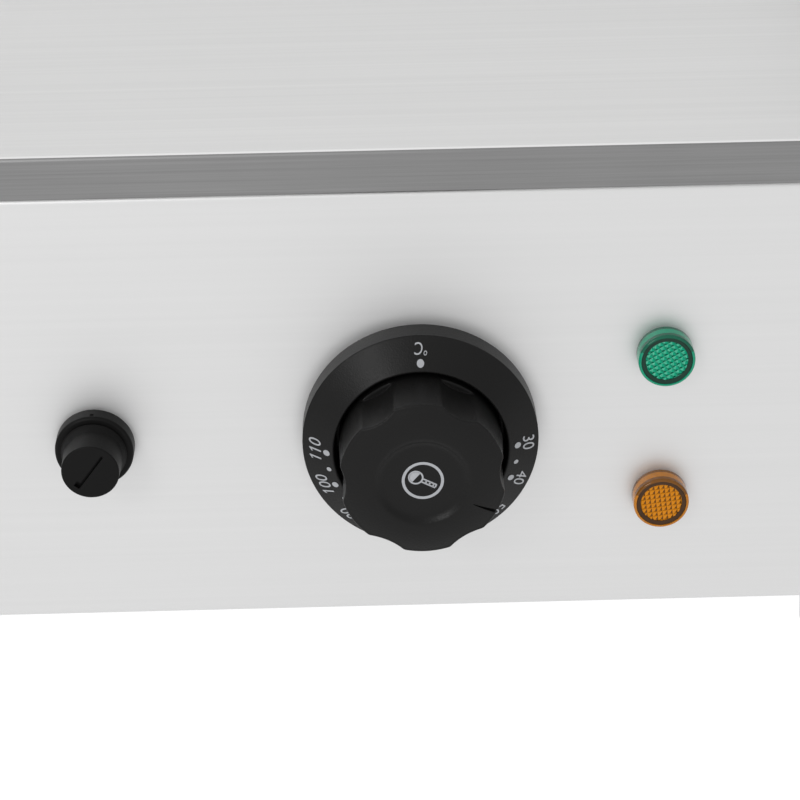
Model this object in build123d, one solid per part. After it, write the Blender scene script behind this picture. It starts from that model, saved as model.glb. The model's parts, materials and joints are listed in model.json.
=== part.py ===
"""Countertop flat top griddle: a thick steel plate on a folded sheet steel body, heated from below.

All lengths are in millimetres. X runs along the front from left to right, Y from the front to the back
and Z up. The origin is under the middle of the whole appliance, on the surface it stands on.
"""
import os
from math import cos, radians, sin, tan

from build123d import *

# ---- driving dimensions ---------------------------------------------------------------------------
WIDTH = 560.0                 # across the side panels
DEPTH = 420.0                 # control panel face to back panel face
KNOB_REACH = 29.0             # knob face in front of the control panel
GLAND_REACH = 24.0            # cable gland behind the back panel
FOOT_H = 40.0                 # bottom edge of the body above the surface
PANEL_H = 125.0               # height of the folded body
PLATE_T = 12.0                # griddle plate
PLATE_OVERHANG = 1.5          # plate edge in front of the control panel
GUARD_H = 62.0                # splash guard above the cooking surface
SHEET = 1.0                   # body sheet
GUARD_T = 1.5                 # splash guard sheet
TRAY_T = 0.8                  # reflector tray sheet

HALF_W = WIDTH / 2
FRONT = (KNOB_REACH - GLAND_REACH - DEPTH) / 2      # outer face of the control panel
BACK = FRONT + DEPTH                                # outer face of the back panel
BODY_BOTTOM = FOOT_H
BODY_TOP = FOOT_H + PANEL_H
PLATE_TOP = BODY_TOP + PLATE_T
GUARD_TOP = PLATE_TOP + GUARD_H
FLOOR_TOP = BODY_BOTTOM + 2 * SHEET                 # upper face of the base pan

# controls on the panel
DIAL_X, DIAL_Z = 110.0, BODY_BOTTOM + 56.0
RESET_X, RESET_Z = DIAL_X - 87.0, DIAL_Z - 2.0
LAMP_X, LAMP_RISE = DIAL_X + 65.0, 21.5
BEZEL_R, BEZEL_RIM, BEZEL_FACE = 31.4, 7.8, 12.0    # radius, rim height and height at the inner edge
BEZEL_BORE, BEZEL_FLOOR = 22.9, 2.0
GRIP_R, GRIP_BASE, GRIP_EDGE, GRIP_CROWN = 21.7, 4.5, 27.1, KNOB_REACH
FLUTES, FLUTE_R, FLUTE_OFFSET, FLUTE_FLOOR = 6, 13.0, 33.05, 11.7
POINTER_ANGLE = 117.5                               # clockwise from the top, as the knob stands at rest
POINTER_START = 14.8
DISH_R, DISH_DEPTH = 12.0, 1.3
SHAFT_R, SHAFT_FLAT = 3.0, 1.6                      # shaft radius and its flat's distance from the axis
COLLAR_R, COLLAR_H, WASHER_T = 10.5, 4.7, 0.5
CAP_FOOT_R, CAP_FACE_R, CAP_H = 8.0, 7.6, 15.6
CAP_ROOF, CAP_SLOT_ANGLE = 2.0, 37.0
BUSH_H, BUTTON_TRAVEL = 8.8, 2.0                     # limiter's threaded bush, button stroke
LENS_R, LENS_H = 7.5, 5.6
LAMP_BODY_R, LAMP_BODY_L = 5.9, 27.0

# grease drawer and drain
DRAIN_X, DRAIN_Y = -155.0, FRONT + 45.0
DRAIN_L, DRAIN_W = 70.0, 26.0
DRAWER_W, DRAWER_L, DRAWER_H = 134.0, 268.0, 42.0
DRAWER_X, DRAWER_Z = DRAIN_X, 60.0
FACE_W, FACE_H, FACE_T, FACE_GAP = 160.0, 60.0, 1.7, 0.3
HANDLE_W, HANDLE_REACH, HANDLE_R = 92.0, 28.0, 4.0

# heating
TRAY_HALF, TRAY_FRONT, TRAY_BACK, TRAY_BOTTOM = 240.0, FRONT + 80.0, BACK - 16.0, 127.0
FLANGE_IN = 35.0                                    # top flange of the side panels
LEG_PITCH, ELEMENT_R, ELEMENT_GAP = 42.0, 4.0, 0.1
ELEMENT_Z = BODY_TOP - ELEMENT_GAP - ELEMENT_R
ELEMENT_BACK, ELEMENT_FRONT = TRAY_BACK - 36.0, TRAY_FRONT + 37.0
TERMINAL_REACH, BOARD_T = 26.0, 18.0
CLAMP_YS, CLAMP_W, CLAMP_T = (-50.0, 110.0), 20.0, 3.0
STUD_XS, STUD_R = (-210.0, -84.0, 84.0, 210.0), 3.0
CORNER_STUD_X, CORNER_STUD_INSET = HALF_W - 14.0, 60.0
BULB_R, BULB_L, CAPILLARY_R = 3.0, 90.0, 1.0

# drawer compartment wall, gland and terminals
PARTITION_X = -60.0
GLAND_X, GLAND_Z = 200.0, 72.0
GLAND_BORE = 5.5
BOND_X, BOND_Z, BOND_R, BOND_IN, BOND_OUT = 150.0, 66.0, 3.0, 10.0, 18.0
FOOT_X, FOOT_INSET = 243.5, 48.0
FOOT_TOP_R, FOOT_BOTTOM_R = 19.5, 17.0

PARTS = {}


# ---- helpers --------------------------------------------------------------------------------------
def span(x0, x1, y0, y1, z0, z1):
    """A box between two corners."""
    return Pos((x0 + x1) / 2, (y0 + y1) / 2, (z0 + z1) / 2) * Box(abs(x1 - x0), abs(y1 - y0), abs(z1 - z0))


def rod_z(x, y, z0, z1, r):
    return Pos(x, y, (z0 + z1) / 2) * Cylinder(r, abs(z1 - z0))


def rod_y(x, z, y0, y1, r):
    return Pos(x, (y0 + y1) / 2, z) * Rot(90, 0, 0) * Cylinder(r, abs(y1 - y0))


def rod_x(y, z, x0, x1, r):
    return Pos((x0 + x1) / 2, y, z) * Rot(0, 90, 0) * Cylinder(r, abs(x1 - x0))


def turned(x, z, outline, y=FRONT):
    """A turned piece on an axis along Y. The outline is (radius, height in front of y)."""
    face = make_face(Polyline(*[(r, -h) for r, h in outline], close=True))
    return Pos(x, y, z) * revolve(face, Axis.Y)


def turned_z(x, y, z, outline):
    """A turned piece on a vertical axis. The outline is (radius, height above z)."""
    face = Plane.XZ * make_face(Polyline(*outline, close=True))
    return Pos(x, y, z) * revolve(face, Axis.Z)


def hex_z(x, y, z0, z1, across, bore):
    """A hexagon nut with its axis along Z, or a plain hexagon if it has no bore."""
    block = Pos(x, y, z0) * extrude(RegularPolygon(across / 2, 6, major_radius=False), z1 - z0)
    return block - rod_z(x, y, z0 - 1, z1 + 1, bore) if bore else block


def hex_y(x, z, y0, y1, across, bore):
    """A hexagon nut with its axis along Y."""
    hexagon = RegularPolygon(across / 2, 6, major_radius=False)
    block = Pos(x, y1, z) * Rot(90, 0, 0) * extrude(hexagon, y1 - y0)
    return block - rod_y(x, z, y0 - 1, y1 + 1, bore)


def tube_along(points, radii, r):
    """A round bar along straight runs joined by arcs."""
    path = FilletPolyline(*points, radius=radii) if len(points) > 2 else Line(*points)
    section = Plane(origin=path @ 0, z_dir=path % 0) * Circle(r)
    return sweep(section, path=path)


def pan_head(reach=8.0, head_r=4.0, head_h=2.4, shank_r=1.9):
    """A cross-recessed pan head screw: head above the XY plane, shank below it."""
    profile = [(0, -reach), (shank_r, -reach), (shank_r, 0), (head_r, 0), (head_r, 0.5 * head_h),
               (0.75 * head_r, 0.9 * head_h), (0, head_h)]
    screw = turned_z(0, 0, 0, profile)
    recess = Pos(0, 0, head_h) * (Box(0.9 * head_r, 0.9, 1.8) + Box(0.9, 0.9 * head_r, 1.8))
    return screw - recess


def group(solids):
    """Several separate pieces in one node."""
    return Compound(children=list(solids))


def add(name, shape):
    PARTS[name] = shape


# ---- body -----------------------------------------------------------------------------------------
SIDE_SCREW_ZS = (BODY_BOTTOM + 28.0, BODY_TOP - 28.0)
SIDE_SCREW_Y = FRONT + 9.0
BACK_SCREW_XS = (-HALF_W + 10.0, HALF_W - 10.0)
BACK_SCREW_ZS = (BODY_BOTTOM + 20.0, (BODY_BOTTOM + BODY_TOP) / 2, BODY_TOP - 20.0)
RETURN = 15.0
BEND = 1.5


def control_panel():
    """Front sheet folded back on all four sides, with the holes for the controls and the drawer."""
    block = span(-HALF_W, HALF_W, FRONT, FRONT + RETURN, BODY_BOTTOM, BODY_TOP)
    block = fillet(block.faces().sort_by(Axis.Y)[0].edges(), BEND)
    hollow = span(-HALF_W + SHEET, HALF_W - SHEET, FRONT + SHEET, FRONT + RETURN + 1,
                  BODY_BOTTOM + SHEET, BODY_TOP - SHEET)
    panel = block - hollow
    panel -= rod_y(DIAL_X, DIAL_Z, FRONT - 1, FRONT + 2, 6.2)
    for side in (-1, 1):
        panel -= rod_y(DIAL_X + side * 14, DIAL_Z, FRONT - 1, FRONT + 2, 2.1)
        panel -= rod_y(LAMP_X, DIAL_Z + side * LAMP_RISE, FRONT - 1, FRONT + 2, LAMP_BODY_R + 0.15)
        for z in SIDE_SCREW_ZS:
            panel -= rod_x(SIDE_SCREW_Y, z, side * (HALF_W - 2), side * (HALF_W + 1), 2.1)
    panel -= rod_y(RESET_X, RESET_Z, FRONT - 1, FRONT + 2, 5.2)
    opening = span(DRAWER_X - DRAWER_W / 2 - 4, DRAWER_X + DRAWER_W / 2 + 4, FRONT - 1, FRONT + 2,
                   DRAWER_Z - 3, DRAWER_Z + DRAWER_H + 3)
    return panel - opening


def side_panel(side):
    """One side of the body: web, inward flanges and a joggled strip that the control panel laps over."""
    outer, inner = side * HALF_W, side * (HALF_W - SHEET)
    web = span(inner, outer, FRONT + RETURN + 0.4, BACK, BODY_BOTTOM, BODY_TOP)
    lap_z = (BODY_BOTTOM + 1.5, BODY_TOP - 1.5)
    lap = span(side * (HALF_W - 2 * SHEET), inner, FRONT + 2.5, FRONT + RETURN + 14, *lap_z)
    start, end = FRONT + RETURN + 0.4, BACK - SHEET
    top = span(side * (HALF_W - FLANGE_IN), inner, start, end, BODY_TOP - SHEET, BODY_TOP)
    foot = span(side * (HALF_W - 16), inner, start, end, BODY_BOTTOM, BODY_BOTTOM + SHEET)
    rear = span(side * (HALF_W - 18), inner, end - SHEET, end, BODY_BOTTOM, BODY_TOP)
    panel = web + lap + top + foot + rear
    for z in SIDE_SCREW_ZS:
        panel -= rod_x(SIDE_SCREW_Y, z, side * (HALF_W - 3), side * (HALF_W - 0.5), 2.0)
    for z in BACK_SCREW_ZS:
        panel -= rod_y(side * (HALF_W - 10), z, BACK - 3, BACK - 0.5, 2.0)
    for y in (FRONT + CORNER_STUD_INSET, BACK - CORNER_STUD_INSET):
        panel -= rod_z(side * CORNER_STUD_X, y, BODY_TOP - 2, BODY_TOP + 1, STUD_R + 0.4)
    for y in TRAY_SCREW_YS:
        panel -= rod_z(side * (TRAY_HALF + 10), y, BODY_TOP - 2, BODY_TOP + 1, 2.0)
    slot_w, slot_h, count, pitch = 4.0, 44.0, 9, 13.0
    for i in range(count):
        y = BACK - 60 - i * pitch
        slot = Pos(side * (HALF_W - 0.5), y, BODY_BOTTOM + 44) * Rot(0, 90, 0) * extrude(
            SlotOverall(slot_h, slot_w), 3, both=True)
        panel -= slot
    return panel


def louvre(x, z, length=58.0, height=8.0, reach=4.5):
    """A pressed louvre on the back panel: a hood closed at its ends and open along its lower edge."""
    def wedge(l, h, r, lift):
        outline = Polyline((0, lift), (r, lift), (r, 0.35 * h + lift), (0.25 * r, h), (0, h), close=True)
        rise = make_face(outline)
        return Pos(x - l / 2, BACK, z) * extrude(Plane.YZ * rise, l)
    hood = wedge(length, height, reach, 0)
    hollow = wedge(length - 2 * SHEET, height - SHEET, reach - SHEET, -2)
    mouth = span(x - length / 2 + SHEET, x + length / 2 - SHEET, BACK - 2, BACK + 0.2, z, z + height - 2.2)
    return hood - hollow, mouth


def back_panel():
    """Back sheet with louvres, the cable gland hole and the bonding stud hole."""
    panel = span(-HALF_W + SHEET + 0.2, HALF_W - SHEET - 0.2, BACK - SHEET, BACK, BODY_BOTTOM, BODY_TOP)
    for column in range(4):
        for row in range(4):
            x, z = -195 + column * 76, BODY_BOTTOM + 28 + row * 20
            hood, mouth = louvre(x, z)
            panel = panel - mouth + hood
    panel -= rod_y(GLAND_X, GLAND_Z, BACK - 3, BACK + 1, 8.2)
    panel -= rod_y(BOND_X, BOND_Z, BACK - 3, BACK + 1, BOND_R + 0.2)
    for x in BACK_SCREW_XS:
        for z in BACK_SCREW_ZS:
            panel -= rod_y(x, z, BACK - 3, BACK + 1, 2.1)
    return panel


def base_pan():
    """Bottom sheet, laid on the inward flanges, with air slots and the foot bolt holes."""
    pan = span(-HALF_W + 2.4, HALF_W - 2.4, FRONT + 2.4, BACK - 2.4, BODY_BOTTOM + SHEET, FLOOR_TOP)
    for x, y in foot_places():
        pan -= rod_z(x, y, BODY_BOTTOM, FLOOR_TOP + 1, 3.25)
    for row in range(3):
        for column in range(7):
            x, y = -10 + column * 30, -60 + row * 70
            pan -= Pos(x, y, FLOOR_TOP - 0.5) * extrude(Rot(0, 0, 90) * SlotOverall(44, 6), 3, both=True)
    return pan


def body_screws():
    """The pan head screws that hold the control panel and the back panel."""
    screws = []
    for side in (-1, 1):
        for z in SIDE_SCREW_ZS:
            screws.append(Pos(side * HALF_W, SIDE_SCREW_Y, z) * Rot(0, side * 90, 0) * pan_head())
    for x in BACK_SCREW_XS:
        for z in BACK_SCREW_ZS:
            screws.append(Pos(x, BACK, z) * Rot(-90, 0, 0) * pan_head())
    return group(screws)


# ---- plate and splash guard -----------------------------------------------------------------------
TRAY_SCREW_YS = (TRAY_FRONT + 30.0, (TRAY_FRONT + TRAY_BACK) / 2, TRAY_BACK - 30.0)
PLATE_FRONT = FRONT - PLATE_OVERHANG
PLATE_HALF = HALF_W - GUARD_T - 0.05
PLATE_BACK = BACK - GUARD_T - 0.05


def drain_slot(grow, z0, z1):
    shape = SlotOverall(DRAIN_L + 2 * grow, DRAIN_W + 2 * grow)
    return Pos(DRAIN_X, DRAIN_Y, z0) * extrude(shape, z1 - z0)


def griddle_plate():
    """Ground steel plate with rounded front edges and the grease drain."""
    plate = span(-PLATE_HALF, PLATE_HALF, PLATE_FRONT, PLATE_BACK, BODY_TOP, PLATE_TOP)
    front_edges = plate.faces().sort_by(Axis.Y)[0].edges().filter_by(Axis.X)
    plate = fillet(front_edges.sort_by(Axis.Z)[-1], 1.5)
    plate = fillet(plate.edges().filter_by(Axis.Z).sort_by(Axis.Y)[-2:], 2.4)
    plate -= drain_slot(0, BODY_TOP - 1, PLATE_TOP + 1)
    rim = plate.faces().sort_by(Axis.Z)[-1].inner_wires()[0].edges()
    return chamfer(rim, 2.0)


def splash_guard():
    """Three-sided guard with a rolled top edge and swept-down front corners."""
    outer = Rectangle(WIDTH, DEPTH + PLATE_OVERHANG)
    outer = fillet(outer.vertices().group_by(Axis.Y)[-1], 4.0)
    inner = Pos(0, -GUARD_T, 0) * Rectangle(WIDTH - 2 * GUARD_T, DEPTH + PLATE_OVERHANG)
    inner = fillet(inner.vertices().group_by(Axis.Y)[-1], 4.0 - GUARD_T)
    middle_y = (PLATE_FRONT + BACK) / 2
    wall = Pos(0, middle_y, BODY_TOP) * extrude(outer - inner, GUARD_TOP - BODY_TOP)
    nose, slope_end = PLATE_TOP + 9.0, PLATE_FRONT + 62.0
    side = Polyline((PLATE_FRONT - 1, BODY_TOP), (PLATE_FRONT - 1, nose), (PLATE_FRONT + 8, nose),
                    (slope_end, GUARD_TOP), (BACK + 1, GUARD_TOP), (BACK + 1, BODY_TOP), close=True)
    profile = make_face(side)
    bends = [v for v in profile.vertices() if abs(v.Y - nose) < 1 and v.X > PLATE_FRONT
             or abs(v.Y - GUARD_TOP) < 1 and v.X < BACK]
    profile = fillet(bends, 22.0)
    keep = Pos(-HALF_W - 1, 0, 0) * extrude(Plane.YZ * profile, WIDTH + 2)
    wall = wall & keep
    roll, z = 2.4, GUARD_TOP - 2.4
    x, y, start = HALF_W - roll, BACK - roll, slope_end + 12
    route = FilletPolyline((-x, start, z), (-x, y, z), (x, y, z), (x, start, z), radius=2.5)
    bead = sweep(Plane(origin=route @ 0, z_dir=route % 0) * Circle(roll), path=route)
    ends = Pos(-x, start, z) * Sphere(roll) + Pos(x, start, z) * Sphere(roll)
    return wall + bead + ends


def grease_chute():
    """Folded tube welded under the drain, ending just above the drawer."""
    half_x, half_y = DRAIN_L / 2 + 4, DRAIN_W / 2 + 4
    bottom = DRAWER_Z + DRAWER_H + 2
    tube = span(DRAIN_X - half_x, DRAIN_X + half_x, DRAIN_Y - half_y, DRAIN_Y + half_y, bottom, BODY_TOP)
    bore = span(DRAIN_X - half_x + SHEET, DRAIN_X + half_x - SHEET, DRAIN_Y - half_y + SHEET,
                DRAIN_Y + half_y - SHEET, bottom - 1, BODY_TOP + 1)
    return tube - bore


def stud_places():
    """(x, y, length) of every stud welded under the plate: clamp bar studs, then corner studs."""
    inner = [(x, y, 17.0) for y in CLAMP_YS for x in STUD_XS]
    ys = (FRONT + CORNER_STUD_INSET, BACK - CORNER_STUD_INSET)
    return inner, [(side * CORNER_STUD_X, y, 12.0) for side in (-1, 1) for y in ys]


def plate_studs():
    inner, corner = stud_places()
    return group([rod_z(x, y, BODY_TOP - length, BODY_TOP, STUD_R) for x, y, length in inner + corner])


def stud_nuts():
    """Nuts under the clamp bars and under the side flanges."""
    inner, corner = stud_places()
    clamp_bottom = ELEMENT_Z - ELEMENT_R - ELEMENT_GAP - CLAMP_T
    nuts = [hex_z(x, y, clamp_bottom - 5, clamp_bottom, 10, STUD_R + 0.05) for x, y, _ in inner]
    nuts += [hex_z(x, y, BODY_TOP - SHEET - 5, BODY_TOP - SHEET, 10, STUD_R + 0.05) for x, y, _ in corner]
    return group(nuts)


# ---- heating --------------------------------------------------------------------------------------
def heating_element(centre_x):
    """One tubular element: four legs under the plate, with both cold ends through the tray's front wall."""
    half, z = LEG_PITCH / 2, ELEMENT_Z
    xs = [centre_x + k * half for k in (-3, -1, 1, 3)]
    start = TRAY_FRONT - 8

    def run(x, y0, y1):
        return Polyline((x, y0, z), (x, y1, z))

    def turn(x, y, bulge):
        return ThreePointArc((x, y, z), (x + half, y + bulge, z), (x + LEG_PITCH, y, z))

    path = run(xs[0], start, ELEMENT_BACK) + turn(xs[0], ELEMENT_BACK, half)
    path += run(xs[1], ELEMENT_BACK, ELEMENT_FRONT) + turn(xs[1], ELEMENT_FRONT, -half)
    path += run(xs[2], ELEMENT_FRONT, ELEMENT_BACK) + turn(xs[2], ELEMENT_BACK, half)
    path += run(xs[3], ELEMENT_BACK, start)
    section = Plane(origin=(xs[0], start, z), z_dir=(0, 1, 0)) * Circle(ELEMENT_R)
    tube = sweep(section, path=path)
    for x in (xs[0], xs[3]):
        tube += rod_y(x, z, start - 5, start, 3.2)
        tube += rod_y(x, z, TRAY_FRONT - TERMINAL_REACH, start - 5, 1.95)
    return tube


def element_centres():
    return {"left": -4 * LEG_PITCH, "centre": 0.0, "right": 4 * LEG_PITCH}


def clamp_bars():
    """Two flat bars that press the elements against the plate."""
    top = ELEMENT_Z - ELEMENT_R - ELEMENT_GAP
    bars = []
    for y in CLAMP_YS:
        bar = span(-TRAY_HALF + 5, TRAY_HALF - 5, y - CLAMP_W / 2, y + CLAMP_W / 2, top - CLAMP_T, top)
        for x in STUD_XS:
            bar -= rod_z(x, y, top - CLAMP_T - 1, top + 1, STUD_R + 0.3)
        bars.append(bar)
    return group(bars)


def reflector_tray():
    """Bright tray under the elements, hung from the side flanges by its rims."""
    x, y0, y1, z0, z1 = TRAY_HALF, TRAY_FRONT, TRAY_BACK, TRAY_BOTTOM, BODY_TOP - SHEET
    tray = span(-x, x, y0, y1, z0, z1)
    tray -= span(-x + TRAY_T, x - TRAY_T, y0 + TRAY_T, y1 - TRAY_T, z0 + TRAY_T, z1 + 1)
    for side in (-1, 1):
        tray += span(side * (x - TRAY_T), side * (x + 16), y0, y1, z1 - TRAY_T, z1)
        for y in TRAY_SCREW_YS:
            tray -= rod_z(side * (x + 10), y, z1 - 2, z1 + 1, 2.1)
    for centre in element_centres().values():
        for k in (-3, 3):
            tray -= rod_y(centre + k * LEG_PITCH / 2, ELEMENT_Z, y0 - 1, y0 + 2, ELEMENT_R + 0.3)
    for bulb_x in (THERMOSTAT_BULB_X, LIMITER_BULB_X):
        tray -= rod_y(bulb_x, CAPILLARY_EXIT_Z, y0 - 1, y0 + 2, CAPILLARY_R + 0.8)
    return tray


def tray_screws():
    screws = []
    for side in (-1, 1):
        for y in TRAY_SCREW_YS:
            screws.append(Pos(side * (TRAY_HALF + 10), y, BODY_TOP - SHEET - TRAY_T) * Rot(180, 0, 0)
                          * pan_head(reach=1.6, head_r=3.2, head_h=2.0))
    return group(screws)


def insulation_board():
    inset, bottom = TRAY_T + 1.0, TRAY_BOTTOM + TRAY_T
    half, front, back = TRAY_HALF - inset, TRAY_FRONT + inset, TRAY_BACK - inset
    return span(-half, half, front, back, bottom, bottom + BOARD_T)


# ---- controls -------------------------------------------------------------------------------------
THERMOSTAT_BULB_X, LIMITER_BULB_X = 0.0, -LEG_PITCH
BULB_Z = BODY_TOP - ELEMENT_GAP - BULB_R
BULB_FRONT = -30.0
CAPILLARY_EXIT_Z = ELEMENT_Z - 12.5
THERMOSTAT_REAR, LIMITER_REAR = FRONT + 40.0, FRONT + 38.0
TAB_W, TAB_L = 6.3, 8.0


def flatted(r, flat, y0, y1, x, z):
    """A round bar with one flat, on an axis along Y."""
    return rod_y(x, z, y0, y1, r) - span(x - 2 * r, x + 2 * r, y0 - 1, y1 + 1, z + flat, z + 2 * r)


def tabs(x, z, y, places):
    """Push-on terminals standing out of the back of a control."""
    blade = span(x - TAB_W / 2, x + TAB_W / 2, y - 0.5, y + TAB_L, z - 0.4, z + 0.4)
    return [Pos(dx, 0, dz) * blade for dx, dz in places]


def thermostat_body():
    """Capillary thermostat: housing, mounting strap and the bush that comes through the panel."""
    x, z = DIAL_X, DIAL_Z
    body = span(x - 22, x + 22, FRONT + 10, THERMOSTAT_REAR, z - 17, z + 17)
    body = fillet(body.edges().filter_by(Axis.Y), 4.0)
    body += span(x - 21, x + 21, FRONT + SHEET, FRONT + SHEET + 2, z - 9, z + 9)
    for side in (-1, 1):
        body += span(x + side * 19, x + side * 21, FRONT + SHEET, FRONT + 12, z - 9, z + 9)
        body -= rod_y(x + side * 14, z, FRONT, FRONT + 4, 2.0)
    body += rod_y(x, z, FRONT - 1, FRONT + 12, 5.8)
    body -= rod_y(x, z, FRONT - 2, FRONT + 14, SHAFT_R + 0.05)
    for tab in tabs(x, z, THERMOSTAT_REAR, [(-10, -10), (10, -10)]):
        body += tab
    return body


def thermostat_shaft():
    shaft = rod_y(DIAL_X, DIAL_Z, FRONT + 1, FRONT + 13.5, SHAFT_R)
    blade = rotated_about_knob(flatted(SHAFT_R, SHAFT_FLAT, FRONT - 21, FRONT + 1, DIAL_X, DIAL_Z))
    return shaft + blade


def rotated_about_knob(shape, angle=POINTER_ANGLE):
    """Turns a piece clockwise about the knob axis, as seen from the front."""
    return Pos(DIAL_X, 0, DIAL_Z) * Rot(0, angle, 0) * Pos(-DIAL_X, 0, -DIAL_Z) * shape


def dial_bezel():
    """Fixed dial ring: a conical face round a recess that the knob turns in."""
    outline = [(6.3, 0), (BEZEL_R, 0), (BEZEL_R, BEZEL_RIM - 0.4), (BEZEL_R - 0.4, BEZEL_RIM),
               (BEZEL_BORE + 0.6, BEZEL_FACE), (BEZEL_BORE, BEZEL_FACE - 0.5), (BEZEL_BORE, BEZEL_FLOOR),
               (6.3, BEZEL_FLOOR)]
    ring = turned(DIAL_X, DIAL_Z, outline)
    for side in (-1, 1):
        ring -= rod_y(DIAL_X + side * 14, DIAL_Z, FRONT - BEZEL_FLOOR - 1, FRONT + 1, 2.1)
    return ring


def bezel_screws():
    screws = []
    for side in (-1, 1):
        screws.append(Pos(DIAL_X + side * 14, FRONT - BEZEL_FLOOR, DIAL_Z) * Rot(90, 0, 0)
                      * pan_head(reach=5.5, head_r=3.4, head_h=2.0))
    return group(screws)


def knob_grip():
    """Six-lobed knob on a round skirt, with a dished face, a pointer groove and a hollow back."""
    dish_floor = GRIP_CROWN - DISH_DEPTH
    outline = [(0, GRIP_BASE), (GRIP_R, GRIP_BASE), (GRIP_R, GRIP_EDGE - 0.5),
               (GRIP_R - 0.4, GRIP_EDGE + 0.2), (GRIP_R - 1.7, GRIP_EDGE + 1.0),
               (GRIP_R - 5.2, GRIP_CROWN - 0.3), (DISH_R + 1.0, GRIP_CROWN), (DISH_R, GRIP_CROWN - 0.2),
               (DISH_R - 2.2, dish_floor), (0, dish_floor)]
    grip = turned(DIAL_X, DIAL_Z, outline)
    for i in range(FLUTES):
        angle = radians(i * 360 / FLUTES + 30)
        x, z = DIAL_X + FLUTE_OFFSET * sin(angle), DIAL_Z + FLUTE_OFFSET * cos(angle)
        grip -= rod_y(x, z, FRONT - 40, FRONT - FLUTE_FLOOR, FLUTE_R)
    hollow = turned(DIAL_X, DIAL_Z, [(7.5, GRIP_BASE - 1), (16.6, GRIP_BASE - 1), (16.6, 23), (7.5, 23)])
    grip -= hollow
    grip -= rod_y(DIAL_X, DIAL_Z, FRONT - 22, FRONT, 5.05)
    wedge = Polyline((-0.1, POINTER_START), (0.1, POINTER_START), (0.85, 24), (-0.85, 24), close=True)
    groove = Pos(DIAL_X, FRONT - GRIP_EDGE + 1.4, DIAL_Z) * extrude(Plane.XZ * make_face(wedge), 6)
    return rotated_about_knob(grip - groove, POINTER_ANGLE)


def knob_insert():
    """Metal bush moulded in the knob, with the flat that drives the shaft."""
    bush = rod_y(DIAL_X, DIAL_Z, FRONT - 21.9, FRONT - 5, 5.0)
    bore = flatted(SHAFT_R + 0.04, SHAFT_FLAT + 0.04, FRONT - 21.2, FRONT, DIAL_X, DIAL_Z)
    return rotated_about_knob(bush - bore)


def reset_collar():
    """Collar nut of the safety limiter, clamping it to the panel."""
    outline = [(5.15, 0), (COLLAR_R, 0), (COLLAR_R - 0.1, COLLAR_H - 0.8), (COLLAR_R - 0.9, COLLAR_H),
               (5.15, COLLAR_H)]
    mark = Pos(RESET_X, FRONT - 2.4, RESET_Z + COLLAR_R) * Sphere(0.7)
    return turned(RESET_X, RESET_Z, outline) - mark


def reset_cap_washer():
    top = COLLAR_H + WASHER_T
    return turned(RESET_X, RESET_Z, [(5.2, COLLAR_H), (7.7, COLLAR_H), (7.7, top), (5.2, top)])


def reset_cap():
    """Screw cap over the reset button, with a screwdriver slot and an index notch in its face."""
    foot = COLLAR_H + WASHER_T
    outline = [(5.15, foot), (CAP_FOOT_R, foot), (CAP_FACE_R + 0.1, CAP_H - 0.7), (CAP_FACE_R - 0.5, CAP_H),
               (0, CAP_H), (0, CAP_H - CAP_ROOF), (5.15, CAP_H - CAP_ROOF)]
    cap = turned(RESET_X, RESET_Z, outline)
    slot = span(-0.4, 0.4, -0.9, 1, -5.4, 5.4) + span(-1.9, 0.4, -0.9, 1, -6.4, -4.5)
    return cap - Pos(RESET_X, FRONT - CAP_H, RESET_Z) * Rot(0, CAP_SLOT_ANGLE, 0) * Pos(0, 0.05, 0) * slot


def reset_button():
    """Button of the safety limiter, reached when the cap is off."""
    head, crown = BUSH_H + BUTTON_TRAVEL + 0.4, CAP_H - CAP_ROOF - 0.6
    outline = [(0, -16), (2.0, -16), (2.0, head), (2.6, head), (2.6, crown - 0.6), (2.0, crown), (0, crown)]
    return turned(RESET_X, RESET_Z, outline)


def limiter_body():
    """Safety limiter: housing and the threaded bush that the collar and the cap screw on."""
    x, z = RESET_X, RESET_Z
    body = span(x - 18, x + 18, FRONT + SHEET, LIMITER_REAR, z - 15, z + 15)
    body = fillet(body.edges().filter_by(Axis.Y), 3.0)
    body += rod_y(x, z, FRONT - BUSH_H, FRONT + SHEET, 5.0)
    body -= rod_y(x, z, FRONT - 10, FRONT + 20, 2.1)
    for tab in tabs(x, z, LIMITER_REAR, [(-8, -9), (8, -9)]):
        body += tab
    return body


def sensor(bulb_x, drop_y, end_x, end_y, end_z):
    """A sensing bulb under the plate, with its capillary led out of the tray and down to a control."""
    bulb = rod_y(bulb_x, BULB_Z, BULB_FRONT, BULB_FRONT + BULB_L, BULB_R)
    dip = TRAY_FRONT + 46
    route = [(bulb_x, BULB_FRONT, BULB_Z), (bulb_x, dip, BULB_Z), (bulb_x, dip, CAPILLARY_EXIT_Z),
             (bulb_x, drop_y, CAPILLARY_EXIT_Z), (bulb_x, drop_y, end_z), (end_x, drop_y, end_z),
             (end_x, end_y, end_z)]
    return bulb + tube_along(route, [6.0, 6.0, 9.0, 9.0, 8.0], CAPILLARY_R)


def bulb_clips():
    """Saddle clips that hold the two bulbs against the plate."""
    clips = []
    for x in (THERMOSTAT_BULB_X, LIMITER_BULB_X):
        clip = span(x - 9, x + 9, 10, 22, BODY_TOP - 1, BODY_TOP)
        clip += rod_y(x, BULB_Z, 10, 22, BULB_R + 1)
        clip -= rod_y(x, BULB_Z, 9, 23, BULB_R + 0.05)
        clip -= span(x - 12, x + 12, 9, 23, BODY_TOP, BODY_TOP + 3)
        clip -= span(x - BULB_R, x + BULB_R, 9, 23, BULB_Z, BODY_TOP + 3)
        clips.append(clip)
    return group(clips)


def lamp_z(colour):
    return DIAL_Z + (LAMP_RISE if colour == "green" else -LAMP_RISE)


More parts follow.
